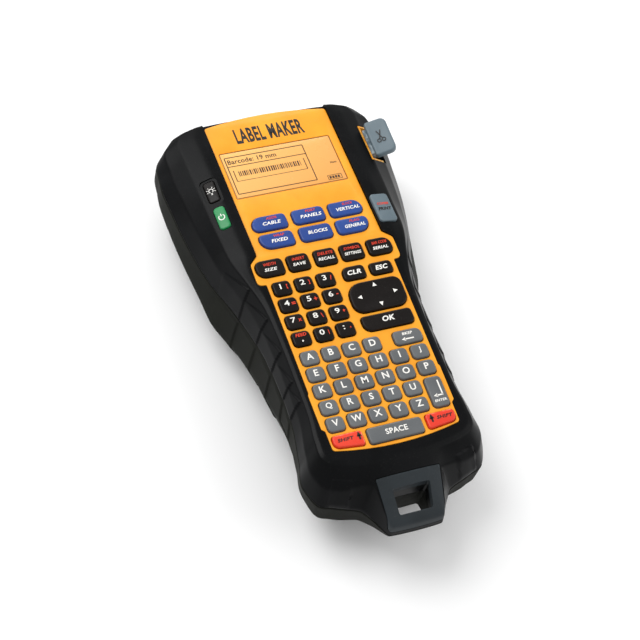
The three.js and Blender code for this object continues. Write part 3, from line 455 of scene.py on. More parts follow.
# One finish from its row: patches of two colours, then rubbed edges, dust and hairlines where it has them.
def makeFinish(name, look):
    material, tree, shader = newMaterial(name)
    place = addNode(tree, "TexCoord").outputs["Object"]
    patch = placeGroup(tree, "patches", place)
    color = mixColor(tree, patch, linearColor(look["base"]), linearColor(look["shade"]))
    rough = mapRange(tree, patch, 0.0, 1.0, *look["rough"])
    if "wear" in look:
        color = mixColor(tree, placeGroup(tree, "wear", place), color, linearColor(look["wear"]))
    if "dust" in look:
        specks = placeGroup(tree, "dust", place, Amount=look["dust"])
        color = mixColor(tree, specks, color, linearColor("b8b4aa"))
        rough = calculate(tree, "ADD", rough, specks)
    height = placeGroup(tree, "grain", place, Scale=float(look["grain"]))
    if "hairlines" in look:
        lines = placeGroup(tree, "hairlines", place, Amount=look["hairlines"])
        rough = calculate(tree, "ADD", rough, lines)
        height = calculate(tree, "SUBTRACT", height, lines)
    bump = addNode(tree, "Bump", [("Height", height), ("Strength", 0.6), ("Distance", look["depth"] * mm)])
    feed(tree, shader, [("Base Color", color), ("Roughness", rough), ("Normal", bump.outputs[0]),
                        ("Metallic", look.get("metal", 0.0)),
                        ("Specular IOR Level", look.get("specular", 0.5))])
    return material


finish = {name: makeFinish(name, look) for name, look in finishes.items()}


# The window: amber with painted shade that darkens it to the right and towards the foot, under a smooth clear
# coat.
def windowFinish():
    material, tree, shader = newMaterial("windowAmber")
    place = addNode(tree, "TexCoord").outputs["Object"]
    axes = addNode(tree, "SeparateXYZ", [(0, place)]).outputs
    # Painted shade: these two masks darken the amber towards the right and towards the foot.
    across = mapRange(tree, axes[0], -0.03, 0.03, 0.0, 0.6)
    down = mapRange(tree, axes[1], 0.096, 0.066, 0.0, 0.4)
    cloud = placeGroup(tree, "patches", place, Scale=45.0)
    paintedShadeTone = mixColor(tree, calculate(tree, "ADD", across, down), linearColor("f4bd6c"), linearColor("e29a48"))
    color = mixColor(tree, calculate(tree, "MULTIPLY", cloud, 0.25), paintedShadeTone, linearColor("eeae5c"))
    height = placeGroup(tree, "grain", place, Scale=900.0)
    bump = addNode(tree, "Bump", [("Height", height), ("Strength", 0.2), ("Distance", 0.00001)])
    feed(tree, shader, [("Base Color", color), ("Roughness", mapRange(tree, cloud, 0.0, 1.0, 0.22, 0.3)),
                        ("Normal", bump.outputs[0]), ("Coat Weight", 0.6), ("Coat Roughness", 0.06)])
    return material


finish["windowAmber"] = windowFinish()
print("finishes ready")


# The case as half outlines by level: inner edge, brow, crest, flank, split line, grip bulge, haunch and back.
# Each row is one station, from the head's end round the right-hand side to the strap loop.
# The split line's height, left at 0 here, comes from splitCourse.
caseStations = np.array([
    [[0, 144.9, -5.7], [0, 146, -6], [0, 146.2, -6.6], [0, 146.5, -9.5],
     [0, 146.5, 0], [0, 146.2, -27], [0, 143.5, -42], [0, 138, -52]],
    [[32.4, 142.4, -4.6], [34, 144.2, -4.9], [34.2, 144.9, -5.6], [34.2, 145.6, -9],
     [34, 145.2, 0], [34, 144.6, -27], [33, 142, -42], [31, 136.5, -52]],
    [[32.4, 140, -4.4], [37.6, 143.3, -4.8], [46, 142.4, -7.2], [49.8, 142.2, -10],
     [51.2, 141.6, 0], [51, 141, -27], [47.5, 138.4, -42], [42, 132, -52]],
    [[32.4, 136, -4.1], [38.7, 139.5, -4.4], [47.8, 139, -7.6], [54.8, 137.6, -11.4],
     [58.4, 135.6, 0], [58.6, 134.8, -27], [54, 131.5, -42], [48, 126, -52]],
    [[32.4, 124, -3.3], [38.7, 127, -3.4], [48, 127, -6.9], [56, 125, -11.9],
     [61.2, 124, 0], [61.9, 122, -27], [57.5, 119, -42], [53, 117, -52]],
    [[32.4, 104, -1.9], [38.7, 104, -1.9], [47.4, 104, -5.5], [55.3, 104, -11],
     [61, 104, 0], [62.7, 103, -27], [57.5, 102, -42], [53.4, 101, -52]],
    [[32.4, 80, -0.3], [38.7, 80, -0.3], [46.9, 80, -3.7], [53.4, 80, -9.9],
     [58.4, 80, 0], [61.4, 81, -28], [56, 81, -42], [52.2, 81, -52]],
    [[32.4, 61.5, 1], [38.4, 61, 1], [45.9, 60.5, -1.9], [50.3, 60, -9.5],
     [54, 60, 0], [58.4, 60, -31], [53, 60, -43], [48.6, 60, -52]],
    [[32.4, 57, 0], [38.6, 51, -0.1], [42.5, 48, -1.2], [46.4, 48, -9.2],
     [49.7, 48, 0], [56.7, 48, -33], [50, 48, -43.5], [45, 48, -52]],
    [[32.4, 43, 0], [36.6, 36, -0.1], [38.8, 33, -1], [42.8, 33, -8.4],
     [46.1, 33, 0], [51.6, 34, -33], [45.4, 34, -43], [38.4, 34, -52]],
    [[32.4, 15, 0], [35.8, 15, -0.1], [37.6, 15, -0.9], [41, 15, -6.9],
     [43.4, 15, 0], [47.8, 17, -29], [42, 17, -42], [34.6, 17, -52]],
    [[32.4, -10, 0], [35.6, -10, -0.1], [37.3, -10, -0.9], [40.4, -10, -6],
     [42.5, -10, 0], [44.8, -7, -26], [39.2, -7, -41], [31.2, -7, -52]],
    [[32.4, -30, 0], [35.8, -30, -0.1], [37.6, -30, -0.9], [40.8, -30, -6.1],
     [43, -30, 0], [43, -26, -22], [37.8, -26, -38], [29.4, -24, -50]],
    [[32.4, -41, 0], [36.8, -41.4, -0.1], [38.9, -41.8, -1], [43, -44, -7.6],
     [44.8, -45, 0], [44, -43.4, -26], [38.4, -41.4, -38], [28, -38, -47.4]],
    [[31.4, -46.4, 0], [36, -50.2, -0.1], [38.2, -51.7, -1], [43.2, -56, -8.6],
     [46.3, -57.5, 0], [44.8, -57, -28.6], [38.6, -54, -37.6], [27, -47, -45]],
    [[29.6, -47.6, 0], [33.8, -52.6, -0.1], [35.8, -54.6, -1], [40.5, -61, -9.2],
     [43.4, -64.8, 0], [42.4, -65, -29.8], [36.4, -60.4, -37.6], [24, -50, -44.4]],
    [[24, -48.8, 0], [27.4, -54.6, -0.1], [29.4, -57.2, -1], [33.5, -64.5, -9.4],
     [35.6, -68.8, 0], [35, -69.6, -30.4], [30, -64.4, -37.4], [19, -52, -44.2]],
    [[16, -50.2, 0], [17.2, -56.3, -0.1], [18.4, -58.9, -1], [17.4, -67.5, -6.2],
     [23, -73.8, 0], [22.6, -73.6, -30], [19, -66.4, -36.4], [13, -53, -44]],
    [[11, -50.8, 0], [11.5, -57, -0.1], [12, -59.8, -1], [15.8, -77, -10.1],
     [18.6, -79.8, 0], [17.8, -79.4, -27.6], [14, -68.4, -35.6], [9, -53.5, -44]],
    [[5, -51.2, 0], [5.6, -57.4, -0.1], [6, -60.2, -1], [13.4, -86.5, -14.2],
     [13.6, -87.8, 0], [12.6, -86.4, -26], [8, -70.4, -35], [5, -54, -44]],
    [[0, -51.3, 0], [0, -57.5, -0.1], [0, -60.3, -1], [0, -87, -14.4],
     [0, -88.4, 0], [0, -87, -26], [0, -71, -35], [0, -54, -44]],
], float)
splitCourse = np.array([[-95, -23], [-75, -20.5], [-58, -18.5], [-46, -16.5], [-29, -12.5], [-10, -12.5],
                        [15, -15], [31, -18], [51, -20.5], [85, -18.5], [150, -17.5]], float)
caseStations[:, 4, 2] = np.interp(caseStations[:, 4, 1], splitCourse[:, 0], splitCourse[:, 1])

shells = {"around": 1040, "wall": 2.2, "noseY": -62.5, "rimInset": 3, "lineInset": 0.45, "panelHeight": 0.55,
          "padHeight": 0.75, "padTips": [-20, -9, 7.5, 26, 44, 62], "padEnd": -43.0}

# How freely the outline turns at each station: small values make a tight corner.
turnEase = np.ones(len(caseStations))
turnEase[[1, 2, 3]] = [0.25, 0.45, 0.5]
turnEase[[17, 18, 19]] = [0.5, 0.4, 0.3]


# All levels round the whole case: a cubic through the stations and their mirror images, with slopes
# weighted by the distance to each neighbour, evaluated at even steps along the crest.
def caseRings(count):
    mirrored = caseStations[1:-1] * [-1, 1, 1]
    ring = np.concatenate([caseStations[:1], mirrored, caseStations[-1:], caseStations[1:-1][::-1]])
    ahead = np.roll(ring, -1, 0) - ring
    step = np.linalg.norm(ahead[:, 2], axis=1)[:, None, None]
    before = np.roll(step, 1, 0)
    slope = (ahead / step * before + np.roll(ahead, 1, 0) / before * step) / (step + before)
    slope *= np.concatenate([turnEase, turnEase[1:-1][::-1]])[:, None, None]
    start = np.concatenate([[0], np.cumsum(step[:, 0, 0])])
    at = np.linspace(0, start[-1], count, endpoint=False)
    piece = np.clip(np.searchsorted(start, at, side="right") - 1, 0, len(ring) - 1)
    length = step[piece]
    t = (at - start[piece])[:, None, None] / length
    after = (piece + 1) % len(ring)
    return (ring[piece] * (1 + 2 * t) * (1 - t) ** 2 + slope[piece] * length * t * (1 - t) ** 2
            + ring[after] * t * t * (3 - 2 * t) + slope[after] * length * t * t * (t - 1))


# Rows between levels: straight between them, then each row drawn towards the mean of its neighbours,
# which rounds the corners.
def betweenLevels(rings, levels, counts, passes=3):
    rows = []
    for level, count in zip(levels[:-1], counts):
        share = np.linspace(0, 1, count, endpoint=False)[:, None, None]
        rows.append(rings[None, :, level] * (1 - share) + rings[None, :, level + 1] * share)
    rows.append(rings[None, :, levels[-1]])
    rows = np.concatenate(rows)
    for _ in range(passes):
        rows[1:-1] = (rows[:-2] + 2 * rows[1:-1] + rows[2:]) / 4
    return rows


# Rows moved inwards in the level plane, along the outline's own normal.
def insetRow(row, distance, lift=0.0):
    along = np.roll(row, -1, 0) - np.roll(row, 1, 0)
    along = along[:, :2] / np.linalg.norm(along[:, :2], axis=1, keepdims=True)
    return row + np.column_stack([-along[:, 1] * distance, along[:, 0] * distance, np.full(len(row), lift)])


# A closed skin through the rows, with caps that are ladders of strips from side to side.
def skin(rows):
    rowCount, count = rows.shape[:2]
    half = count // 2
    step = np.arange(1, half - 1)
    strips = np.stack([step, step + 1, count - step - 1, count - step], -1)
    cap = strips.tolist() + [[0, 1, count - 1], [half - 1, half, half + 1]]
    last = (rowCount - 1) * count
    foot = [[index + last for index in corner] for corner in cap]
    return rows.reshape(-1, 3), gridFaces(rowCount, count) + cap + foot


# Eases from 0 to 1 as 3 t squared minus 2 t cubed.
def smoothStep(value):
    value = np.clip(value, 0, 1)
    return value * value * (3 - 2 * value)


# Grip pads: scales that stand highest at their lower edge and fade towards the next one. Each edge runs
# along y = tip + 0.4 (z + 2) below the crest, and each scale's upper side is bounded by a steeper line.
def padHeights(points):
    y, z = points[..., 1], points[..., 2]
    along = y - 0.4 * (z + 2)
    height = np.zeros_like(along)
    tips = shells["padTips"]
    for tip, following in zip(tips[:-1], tips[1:]):
        rise = smoothStep((along - tip) / 0.5)
        fade = 1 - 0.9 * np.clip((along - tip) / (following - tip), 0, 1)
        inside = smoothStep((following - along) / 0.5)
        notch = smoothStep((tip + 2.8 * -(z + 2) + 0.6 - y) / 1.6)
        height = np.maximum(height, rise * fade * inside * notch)
    low = smoothStep((z - shells["padEnd"]) / 4)
    line = smoothStep(np.abs(z - np.interp(y, splitCourse[:, 0], splitCourse[:, 1])) / 1.6)
    return height * low * line * shells["padHeight"]


# A shallow raised panel at each corner of the foot: a turned rectangle from under the crest down the flank.
def footPanels(points):
    across, along = 5.2, 4.4
    angle = math.atan2(4.1, 11.5)
    total = np.zeros(points.shape[:-1])
    for side in (-1, 1):
        dx, dy = points[..., 0] * side - 32.4, points[..., 1] + 65.6
        u = dx * math.cos(angle) + dy * math.sin(angle)
        v = dy * math.cos(angle) - dx * math.sin(angle)
        inside = smoothStep((across - np.abs(u)) / 0.5) * smoothStep((along - np.abs(v)) / 0.5)
        total = np.maximum(total, inside)
    below = smoothStep((points[..., 2] + 20) / 3)
    return total * below * shells["panelHeight"]


# Moves rows along the surface normal, the cross product of the two grid directions.
def raised(rows, height):
    around = np.roll(rows, -1, 1) - np.roll(rows, 1, 1)
    down = np.gradient(rows, axis=0)
    normal = np.cross(down, around)
    normal /= np.maximum(np.linalg.norm(normal, axis=-1, keepdims=True), 1e-9)
    return rows + normal * height[..., None]


dense = caseRings(shells["around"])
sparse = caseRings(shells["around"] // 4)


# The front skin runs from the inner edge to the split line, and the rear skin from there to the back.
# Both turn in a little at the split line, which leaves a groove between them.
def frontSkin():
    rows = betweenLevels(dense, [0, 1, 2, 3, 4], [5, 8, 24, 16], 2)
    rows = raised(rows, padHeights(rows) + footPanels(rows))
    rows[-1] = insetRow(rows[-1], shells["lineInset"])
    return skin(rows)


def rearSkin():
    rows = betweenLevels(dense, [4, 5, 6, 7], [22, 18, 12])
    rows = raised(rows, padHeights(rows))
    rows[:, :, 2] -= np.linspace(gap, 0, len(rows))[:, None]
    rows[0] = insetRow(rows[0], shells["lineInset"])
    return skin(rows)


# Each hollow follows the skin a wall's thickness inside it.
def frontHollow():
    wall, depth = shells["wall"], face["ledgeDepth"] + 2.3
    rows = [insetRow(sparse[:, 0], 0.4, -depth), insetRow(sparse[:, 2], wall, -wall),
            insetRow(sparse[:, 3], wall, -1), insetRow(sparse[:, 4], wall, -8)]
    return skin(np.array(rows))


def rearHollow():
    wall = shells["wall"]
    rows = [insetRow(sparse[:, 4], wall + shells["rimInset"], 8), insetRow(sparse[:, 5], wall),
            insetRow(sparse[:, 6], wall, 1), insetRow(sparse[:, 7], wall, wall)]
    return skin(np.array(rows))


letter = {"pitch": 10.76, "row": 9.1, "x": -26.8, "width": 8.6, "height": 7.5, "radius": 2.0}
digit = {"pitch": 11.4, "row": 9.6, "x": -27.1, "y": 39.7, "width": 9, "height": 7.8, "radius": 2.1}
keyCap = {"top": 1.3, "foot": -3.4, "edge": 0.75, "crown": 0.14, "web": -2.4, "gap": 0.35}


# One row of a kind of like keys.
def rowKeys(kind, y, count):
    return [boxCorners(kind["x"] + kind["pitch"] * k, y, kind["width"], kind["height"], kind["radius"])
            for k in range(count)]


# The corners of a key from its left and right sides, its middle height and its height.
def wide(left, right, y, height, radii):
    return boxCorners((left + right) / 2, y, right - left, height, radii)


shiftCorners = [[-16.3, -42.2, 1.5], [-31.2, -42.2, 1.5], [-31.2, -48.2, 3], [-16.3, -49.9, 1.3]]
mirroredShift = [[-x, y, radius] for x, y, radius in shiftCorners][::-1]
keyRows = {
    "hot_key_row_1": {"finish": "hotBlue", "lean": True, "keys": [
        wide(-29.6, -11.4, 77.9, 8.7, [2.2, 5.2, 3.2, 2.2]), wide(-8.1, 8.7, 77.9, 8.7, 2.4),
        wide(11.5, 28.9, 77.9, 8.7, [5.2, 2.2, 2.2, 3.2])]},
    "hot_key_row_2": {"finish": "hotBlue", "lean": True, "keys": [
        wide(-28.9, -11.4, 67, 8.7, [2.2, 2.4, 5.5, 2.2]), wide(-8.1, 8.7, 67, 8.7, 2.4),
        wide(11.5, 28.6, 67, 8.7, [2.4, 2.2, 2.2, 5.5])]},
    "function_key_row": {"finish": "keyBlack", "keys": [
        wide(-36.3, -22.1, 52.05, 9.3, [2.2, 3.6, 4.5, 2.2]), wide(-19.9, -8.7, 52.05, 9.3, 2.2),
        wide(-5.7, 5.5, 52.05, 9.3, 2.2), wide(8.1, 19.9, 52.05, 9.3, 2.2),
        wide(22.5, 35.3, 52.05, 9.3, [4.5, 2.2, 2.2, 3.4])]},
    "clear_key": {"finish": "keyBlack", "keys": [wide(4.9, 16.6, 40.2, 7.5, [2, 3.7, 2, 2])]},
    "escape_key": {"finish": "keyBlack", "keys": [wide(19.4, 31, 40, 6.8, 2)]},
    "arrow_pad": {"finish": "keyBlack", "keys": [wide(3.7, 32.1, 25.7, 16.6, [4.2, 7.6, 5.2, 5.7])]},
    "ok_key": {"finish": "keyBlack", "keys": [wide(4.7, 31.1, 11.1, 8.4, [2, 2, 4.1, 2.8])]},
    "backspace_key": {"finish": "keyGrey", "keys": [wide(16.8, 31.4, 0, 7.5, [3, 2, 2, 2])]},
    "enter_key": {"finish": "keyGrey", "keys": [wide(22.8, 31.3, -31.85, 16.2, 2)]},
    "space_key": {"finish": "keyGrey", "keys": [wide(-13.9, 13.9, -46.4, 8.2, 1.5)]},
    "left_shift_key": {"finish": "keyRed", "keys": [shiftCorners]},
    "right_shift_key": {"finish": "keyRed", "keys": [mirroredShift]},
}
for row in range(4):
    keyRows[f"number_row_{row + 1}"] = {
        "finish": "keyBlack", "keys": rowKeys(digit, digit["y"] - digit["row"] * row, 3)}
for row, count in enumerate([4, 6, 6, 5, 5]):
    keyRows[f"letter_row_{row + 1}"] = {
        "finish": "keyGrey", "keys": rowKeys(letter, -letter["row"] * row, count)}

display = {"x": -1.2, "y": 110.5, "width": 59.8, "height": 29.2, "radius": 0.8, "thickness": 1.2}
shoulderButtons = {
    "backlight_button": {"place": (-42.3, 103.4, -2.9), "lean": -23,
                         "width": 5.8, "length": 12.4, "radius": 1.4, "proud": -0.2, "finish": "keyBlack"},
    "power_button": {"place": (-42.1, 86.6, -2), "lean": -23,
                     "width": 5.8, "length": 13.2, "radius": 1.8, "proud": 0.9, "finish": "powerGreen"},
    "print_button": {"place": (39.4, 73.7, -0.15), "lean": 10,
                     "width": 9.8, "length": 17.4, "radius": 1.8, "proud": 1.0, "finish": "leverGrey"},
}
buttonDepth = 6.6


# A shoulder button's own turn: leant about Y to its shoulder, then tilted with the head.
def shoulderTurn(button):
    return turnAbout("X", -face["tilt"]) @ turnAbout("Y", math.radians(button["lean"]))


# A button's outline, grown by a margin on every side.
def buttonCorners(button, margin=0.0):
    return boxCorners(0, 0, button["width"] + 2 * margin, button["length"] + 2 * margin,
                      button["radius"] + margin)


# A shape from a button's own layout to its shoulder.
def onShoulder(shape, button):
    return moved(shape, button["place"], shoulderTurn(button))


# Each edge moves out by the distance, so a corner moves along the sum of its two edge normals.
def growCorners(corners, distance):
    grownCorners = []
    for i, (x, y, radius) in enumerate(corners):
        px, py = corners[i - 1][:2]
        nx, ny = corners[(i + 1) % len(corners)][:2]
        first = np.array([x - px, y - py]) / math.hypot(x - px, y - py)
        second = np.array([nx - x, ny - y]) / math.hypot(nx - x, ny - y)
        share = distance / (1 + first @ second)
        place = (x + share * (first[1] + second[1]), y - share * (first[0] + second[0]))
        grownCorners.append([*place, max(radius + distance, 0.2)])
    return grownCorners


# The faceplate's outline: straight sides with a step below the head, and crowned ends, where
# y = edge + rise (1 - s squared) with s from 1 to -1 across.
def plateCorners(grow, openHead=False):
    right = [[32.5 + grow, -38.6 + grow / 2, 0.8], [34 + grow, -37.2 + grow / 2, 0.8],
             [34.1 + grow, -18.8 - grow / 2, 0.8], [33.5 + grow, -17.3 - grow / 2, 0.8],
             [33.6 + grow, 43.8 - grow, 0.8], [37.8 + grow, 43.8 - grow, 2.4],
             [37.8 + grow, 56.3 + grow / 2, 2.4], [33.2 + grow, 60.5 + grow / 2, 1.2]]
    left = [[-x, y, radius] for x, y, radius in right][::-1]
    share = np.linspace(1, -1, 9)
    if openHead:
        head = [[33.2 + grow, 160, 0.1], [-33.2 - grow, 160, 0.1]]
    else:
        x = (33.2 + grow) * share
        y = 142.5 + grow + 3.1 * (1 - share ** 2)
        head = [[a, b, 1.6 if abs(a) > 30 else 0.4] for a, b in zip(x, y)]
    x = -(32.4 + grow) * share
    y = -49 - grow - 3.6 * (1 - share ** 2)
    foot = [[a, b, 1.6 if abs(a) > 30 else 0.4] for a, b in zip(x, y)]
    return right + head + left + foot


# Bends a flat piece at the face's bend: points above it drop by the slope times their distance from it.
def bendFace(piece):
    bend = (face["bend"] + layoutShift[1]) * mm
    slope = math.tan(face["tilt"])

    def fold(work):
        everything = work.verts[:] + work.edges[:] + work.faces[:]
        bmesh.ops.bisect_plane(work, geom=everything, dist=1e-7, plane_co=(0, bend, 0), plane_no=(0, 1, 0))
        for vert in work.verts:
            vert.co.z -= slope * max(vert.co.y - bend, 0)

    rework(piece.data, fold)
    return piece


# A cutter that follows the bent face.
def faceTool(corners, low, high):
    return bendFace(tool(block(corners, low, high, 3)))


below, above = -60, 20  # heights clear of the whole case
strapHole = [[9.6, -71.4, 1], [-9.6, -71.4, 1], [-8.6, -82.8, 1], [8.6, -82.8, 1]]
strapLoop = {"frame": [[16.2, -65.9, 0.4], [-16.2, -65.9, 0.4], [-13, -100, 0.4], [13, -100, 0.4]],
             "depth": 4.0, "slope": math.atan2(13.4, 26.7)}


# Everything above a plane that lies a distance under the loop's sloping top.
def loopSlab(depth):
    block = slab((-40, -40, 0), (40, 40, 60))
    base = (0, -60.3, -1 - depth / math.cos(strapLoop["slope"]))
    return moved(block, base, turnAbout("X", strapLoop["slope"]))


leverSlot = {"left": 46.6, "right": 56.4, "low": 106.2, "high": 129.0}
screwPlaces = [(-48, 75, -48), (48, 75, -48), (-30, -55, -33), (30, -55, -33)]


# A screw's passage: a wide bore to its head and a narrow one to its tip.
def screwPassage(x, y, head):
    profile = [[3.3, head - 20], [3.3, head + 2.3], [1.7, head + 2.3], [1.7, -12.7]]
    return turned(profile, 24, (x, y, 0))


# The hole for the strap through both shells, a little wider than the loop's own.
def strapCut():
    corners = [[x + math.copysign(0.8, x), y + (0.8 if y > -75 else -0.8), 1] for x, y, _ in strapHole]
    return tool(block(corners, below, above))


# What a shell's hollow keeps: everything behind the nose.
def noseTool():
    return tool(slab((-90, shells["noseY"], -90), (90, 200, 90)))


# The front shell: hollow, with a ledge for the faceplate, room for the strap loop, the lever's slot,
# the buttons' holes and a pocket round the backlight button.
def buildFrontCase():
    shell = makePiece("frontShell", frontSkin())
    hollow = tool(frontHollow())
    carve(hollow, [noseTool()], "INTERSECT")
    loopRoom = tool(block(growCorners(strapLoop["frame"], gap), below, above, 2))
    carve(loopRoom, [tool(loopSlab(strapLoop["depth"] + gap))], "INTERSECT")
    slot = slab((leverSlot["left"], leverSlot["low"], -30), (leverSlot["right"], leverSlot["high"], above))
    tools = [hollow, faceTool(plateCorners(gap, True), -face["ledgeDepth"], above),
             faceTool(plateCorners(-face["ledge"]), -20, above), loopRoom, strapCut(), tool(slot)]
    for button in shoulderButtons.values():
        tools.append(tool(onShoulder(block(buttonCorners(button, 0.35), -12, 12), button)))
    pocket = block(boxCorners(0, 0, 9.0, 15.8, 2.2), -0.9, 8)
    tools.append(tool(onShoulder(pocket, shoulderButtons["backlight_button"])))
    carve(shell, tools)
    return dress(shell, finish["caseBlack"], "case", 32, ["front_case"])


doors = {
    "cassette_door": {"left": -41.5, "right": 41.5, "low": 61.4, "hinge": 124.8, "rim": 2.0},
    "battery_door": {"left": -24.0, "right": 24.0, "low": -6.0, "hinge": 56.0, "rim": 3.0},
}
doorLeaf = {"thickness": 2.2, "barrel": 1.2, "clearance": 1.0, "frame": 4.7}
battery = {"half": 20.5, "low": -2, "high": 50, "top": -28}
powerJack = {"y": 92, "z": -30, "radius": 4.4, "inner": 51}
tapeExit = {"left": 21.5, "right": 26.9, "low": -46, "high": -20.4}


# What a door needs in the rear shell: a recess, a groove for its barrel and the hole behind it.
def doorTools(door):
    left, right, low, hinge, rim = door["left"], door["right"], door["low"], door["hinge"], door["rim"]
    back = face["back"]
    recess = block(spanCorners(left - gap, right + gap, low - gap, hinge + gap, 1.8),
                   back - 5, back + doorLeaf["thickness"] + gap)
    bore = doorLeaf["barrel"] + doorLeaf["clearance"]
    groove = turned([[bore, left - gap], [bore, right + gap]], 24, (0, hinge, back + doorLeaf["barrel"]), "X")
    hole = slab((left + rim, low + rim, back - 5), (right - rim, hinge - rim - 1, back + 6))
    return [tool(recess), tool(groove), tool(hole)]


# The rear shell: hollow, with walls round the battery and frames round the doors, then every opening.
def buildRearCase():
    shell = makePiece("rearShell", rearSkin())
    hollow = tool(rearHollow())
    carve(hollow, [noseTool()], "INTERSECT")
    carve(shell, [hollow])
    back = face["back"]
    half, low, high, top = battery["half"], battery["low"], battery["high"], battery["top"]
    joins = [tool(slab((-half - 2, low - 2, back + 1), (half + 2, high + 2, top + 2)))]
    for door in doors.values():
        joins.append(tool(slab((door["left"] - 3, door["low"] - 3, back + 1),
                               (door["right"] + 3, door["hinge"] + 3.5, back + doorLeaf["frame"]))))
    carve(shell, joins, "UNION")
    bore = powerJack["radius"] + gap
    jackBore = turned([[bore, powerJack["inner"]], [bore, 80]], 40, (0, powerJack["y"], powerJack["z"]), "X")
    tools = [tool(slab((-half - gap, low - gap, back - 5), (half + gap, high + gap, top + gap))), strapCut(),
             tool(slab((tapeExit["left"], 139, tapeExit["low"]), (tapeExit["right"], 160, tapeExit["high"]))),
             tool(jackBore)]
    for door in doors.values():
        tools += doorTools(door)
    tools += [tool(screwPassage(*place)) for place in screwPlaces]
    carve(shell, tools)
    return dress(shell, finish["gripRubber"], "case", 32, ["rear_case"])


print("front case", len(buildFrontCase().data.polygons))
print("rear case", len(buildRearCase().data.polygons))


# The strap loop is the part of the front skin inside its frame and above a sloping plane.
def buildStrapLoop():
    loop = makePiece("strapRing", skin(betweenLevels(dense, [0, 1, 2, 3, 4], [2, 3, 8, 8], 2)))
    keep = tool(block(strapLoop["frame"], below, above, 2))
    carve(keep, [tool(loopSlab(strapLoop["depth"]))], "INTERSECT")
    carve(loop, [keep], "INTERSECT")
    carve(loop, [tool(block(strapHole, below, above))])
    return dress(loop, finish["loopGrey"], "case", 32, ["strap_loop"])


buildStrapLoop()


# A flat outline with holes, filled and given a thickness and rounded edges.
def filledPlate(name, outlines, low, high, edge):
    curve = bpy.data.curves.new(name, "CURVE")
    curve.dimensions = "2D"
    curve.fill_mode = "BOTH"
    curve.extrude = (high - low) / 2 - edge
    curve.bevel_depth = edge
    curve.bevel_resolution = 2
    curve.offset = -edge
    for outline in outlines:
        spline = curve.splines.new("POLY")
        spline.points.add(len(outline) - 1)
        flat = np.column_stack([outline, np.zeros(len(outline)), np.ones(len(outline))])
        spline.points.foreach_set("co", flat.ravel())
        spline.use_cyclic_u = True
    points, faces = curveShape(curve)
    piece = makePiece(name, (points + [0, 0, (low + high) / 2], faces), closed=False)

    def close(work):
        bmesh.ops.remove_doubles(work, verts=work.verts, dist=1e-6)
        faceOutwards(work)

    rework(piece.data, close)
    return piece


# The faceplate has a hole round every key and a seat for the display.
def buildFaceplate():
    outlines = [roundedOutline(plateCorners(0), 3)[0]]
    for keyRow in keyRows.values():
        outlines += [roundedOutline(growCorners(key, keyCap["gap"]), 5)[0] for key in keyRow["keys"]]
    seat = boxCorners(display["x"], display["y"] - 0.1, display["width"] + 0.4, display["height"] + 0.4, 1)
    outlines.append(roundedOutline(seat, 3)[0])
    plate = bendFace(filledPlate("yellowPlate", outlines, -face["plate"], 0, 0.25))
    return dress(plate, finish["plateYellow"], "case", 30, ["faceplate"])


buildFaceplate()
print("faceplate")


# One key's cap: a pillow over the key's outline.
def capShape(corners, top=keyCap["top"], crown=keyCap["crown"]):
    outline, normals = roundedOutline(corners, 6)
    return pillow(outline, normals, keyCap["foot"], top, keyCap["edge"], crown)


# The web that joins a row's keys under the faceplate: a slab over two thirds of the row's height.
def webShape(keys):
    corners = np.array([corner[:2] for key in keys for corner in key])
    (left, low), (right, high) = corners.min(0), corners.max(0)
    middle, half = (low + high) / 2, (high - low) * 0.33
    return slab((left - gap, middle - half, keyCap["foot"]), (right + gap, middle + half, keyCap["web"]))


# The arrow pad is a rocker: its top dips towards the middle.
def buildKeys():
    for name, keyRow in keyRows.items():
        rocker = name == "arrow_pad"
        shapes = [capShape(key, 1.45, -0.5) if rocker else capShape(key) for key in keyRow["keys"]]
        shapes.append(webShape(keyRow["keys"]))
        shape = combine(shapes)
        if keyRow.get("lean"):
            shape = leaned(shape)
        piece = makePiece(name + "_caps", shape)
        dress(piece, finish[keyRow["finish"]], name, 40, [name])


buildKeys()
print("keys")

lettersMade = {}


# One word as a thin closed shape about its middle, with capitals 1 mm high before scaling.
def wordShape(text, slant, weight):
    key = (text, slant, weight)
    if key in lettersMade:
        return lettersMade[key]
    curve = bpy.data.curves.new("word", "FONT")
    settings = {"body": text, "size": 1.43, "align_x": "CENTER", "align_y": "CENTER", "shear": slant,
                "offset": weight, "extrude": 0.01, "space_character": 1 + 1.6 * weight, "resolution_u": 3}
    for label, value in settings.items():
        setattr(curve, label, value)
    points, faces = curveShape(curve)
    lettersMade[key] = (points - (points.min(0) + points.max(0)) / 2, faces)
    return lettersMade[key]


# A word scaled to a cap height and a width, or to its own width times stretch, on a given height.
def word(text, x, y, z, height, width=None, slant=0.0, weight=0.03, stretch=1.0):
    points, faces = wordShape(text, slant, weight)
    size = np.ptp(points, axis=0)
    tall = height / size[1]
    wideScale = width / size[0] if width else tall * stretch
    return points * [wideScale, tall, 1.0] + [x, y, z], faces


# Shapes as one printed piece that rides on a body, on the leaning part of the face or the level one.
def sign(shapes, name, ink, body="case", lean=False):
    shape = combine(shapes)
    if lean:
        shape = leaned(shape)
    piece = makePiece(name, shape, closed=False)
    return dress(piece, finish[ink], body, 30)


inkZ = keyCap["top"] + keyCap["crown"] + 0.02
thin = (inkZ - 0.02, inkZ + 0.01)


# A triangle that points along an angle.
def arrowhead(x, y, size, angle):
    corners = np.array([[1, 0], [-0.7, 0.85], [-0.7, -0.85]]) * size
    turn = np.array([[math.cos(angle), -math.sin(angle)], [math.sin(angle), math.cos(angle)]])
    return prism(corners @ turn.T + [x, y], *thin)


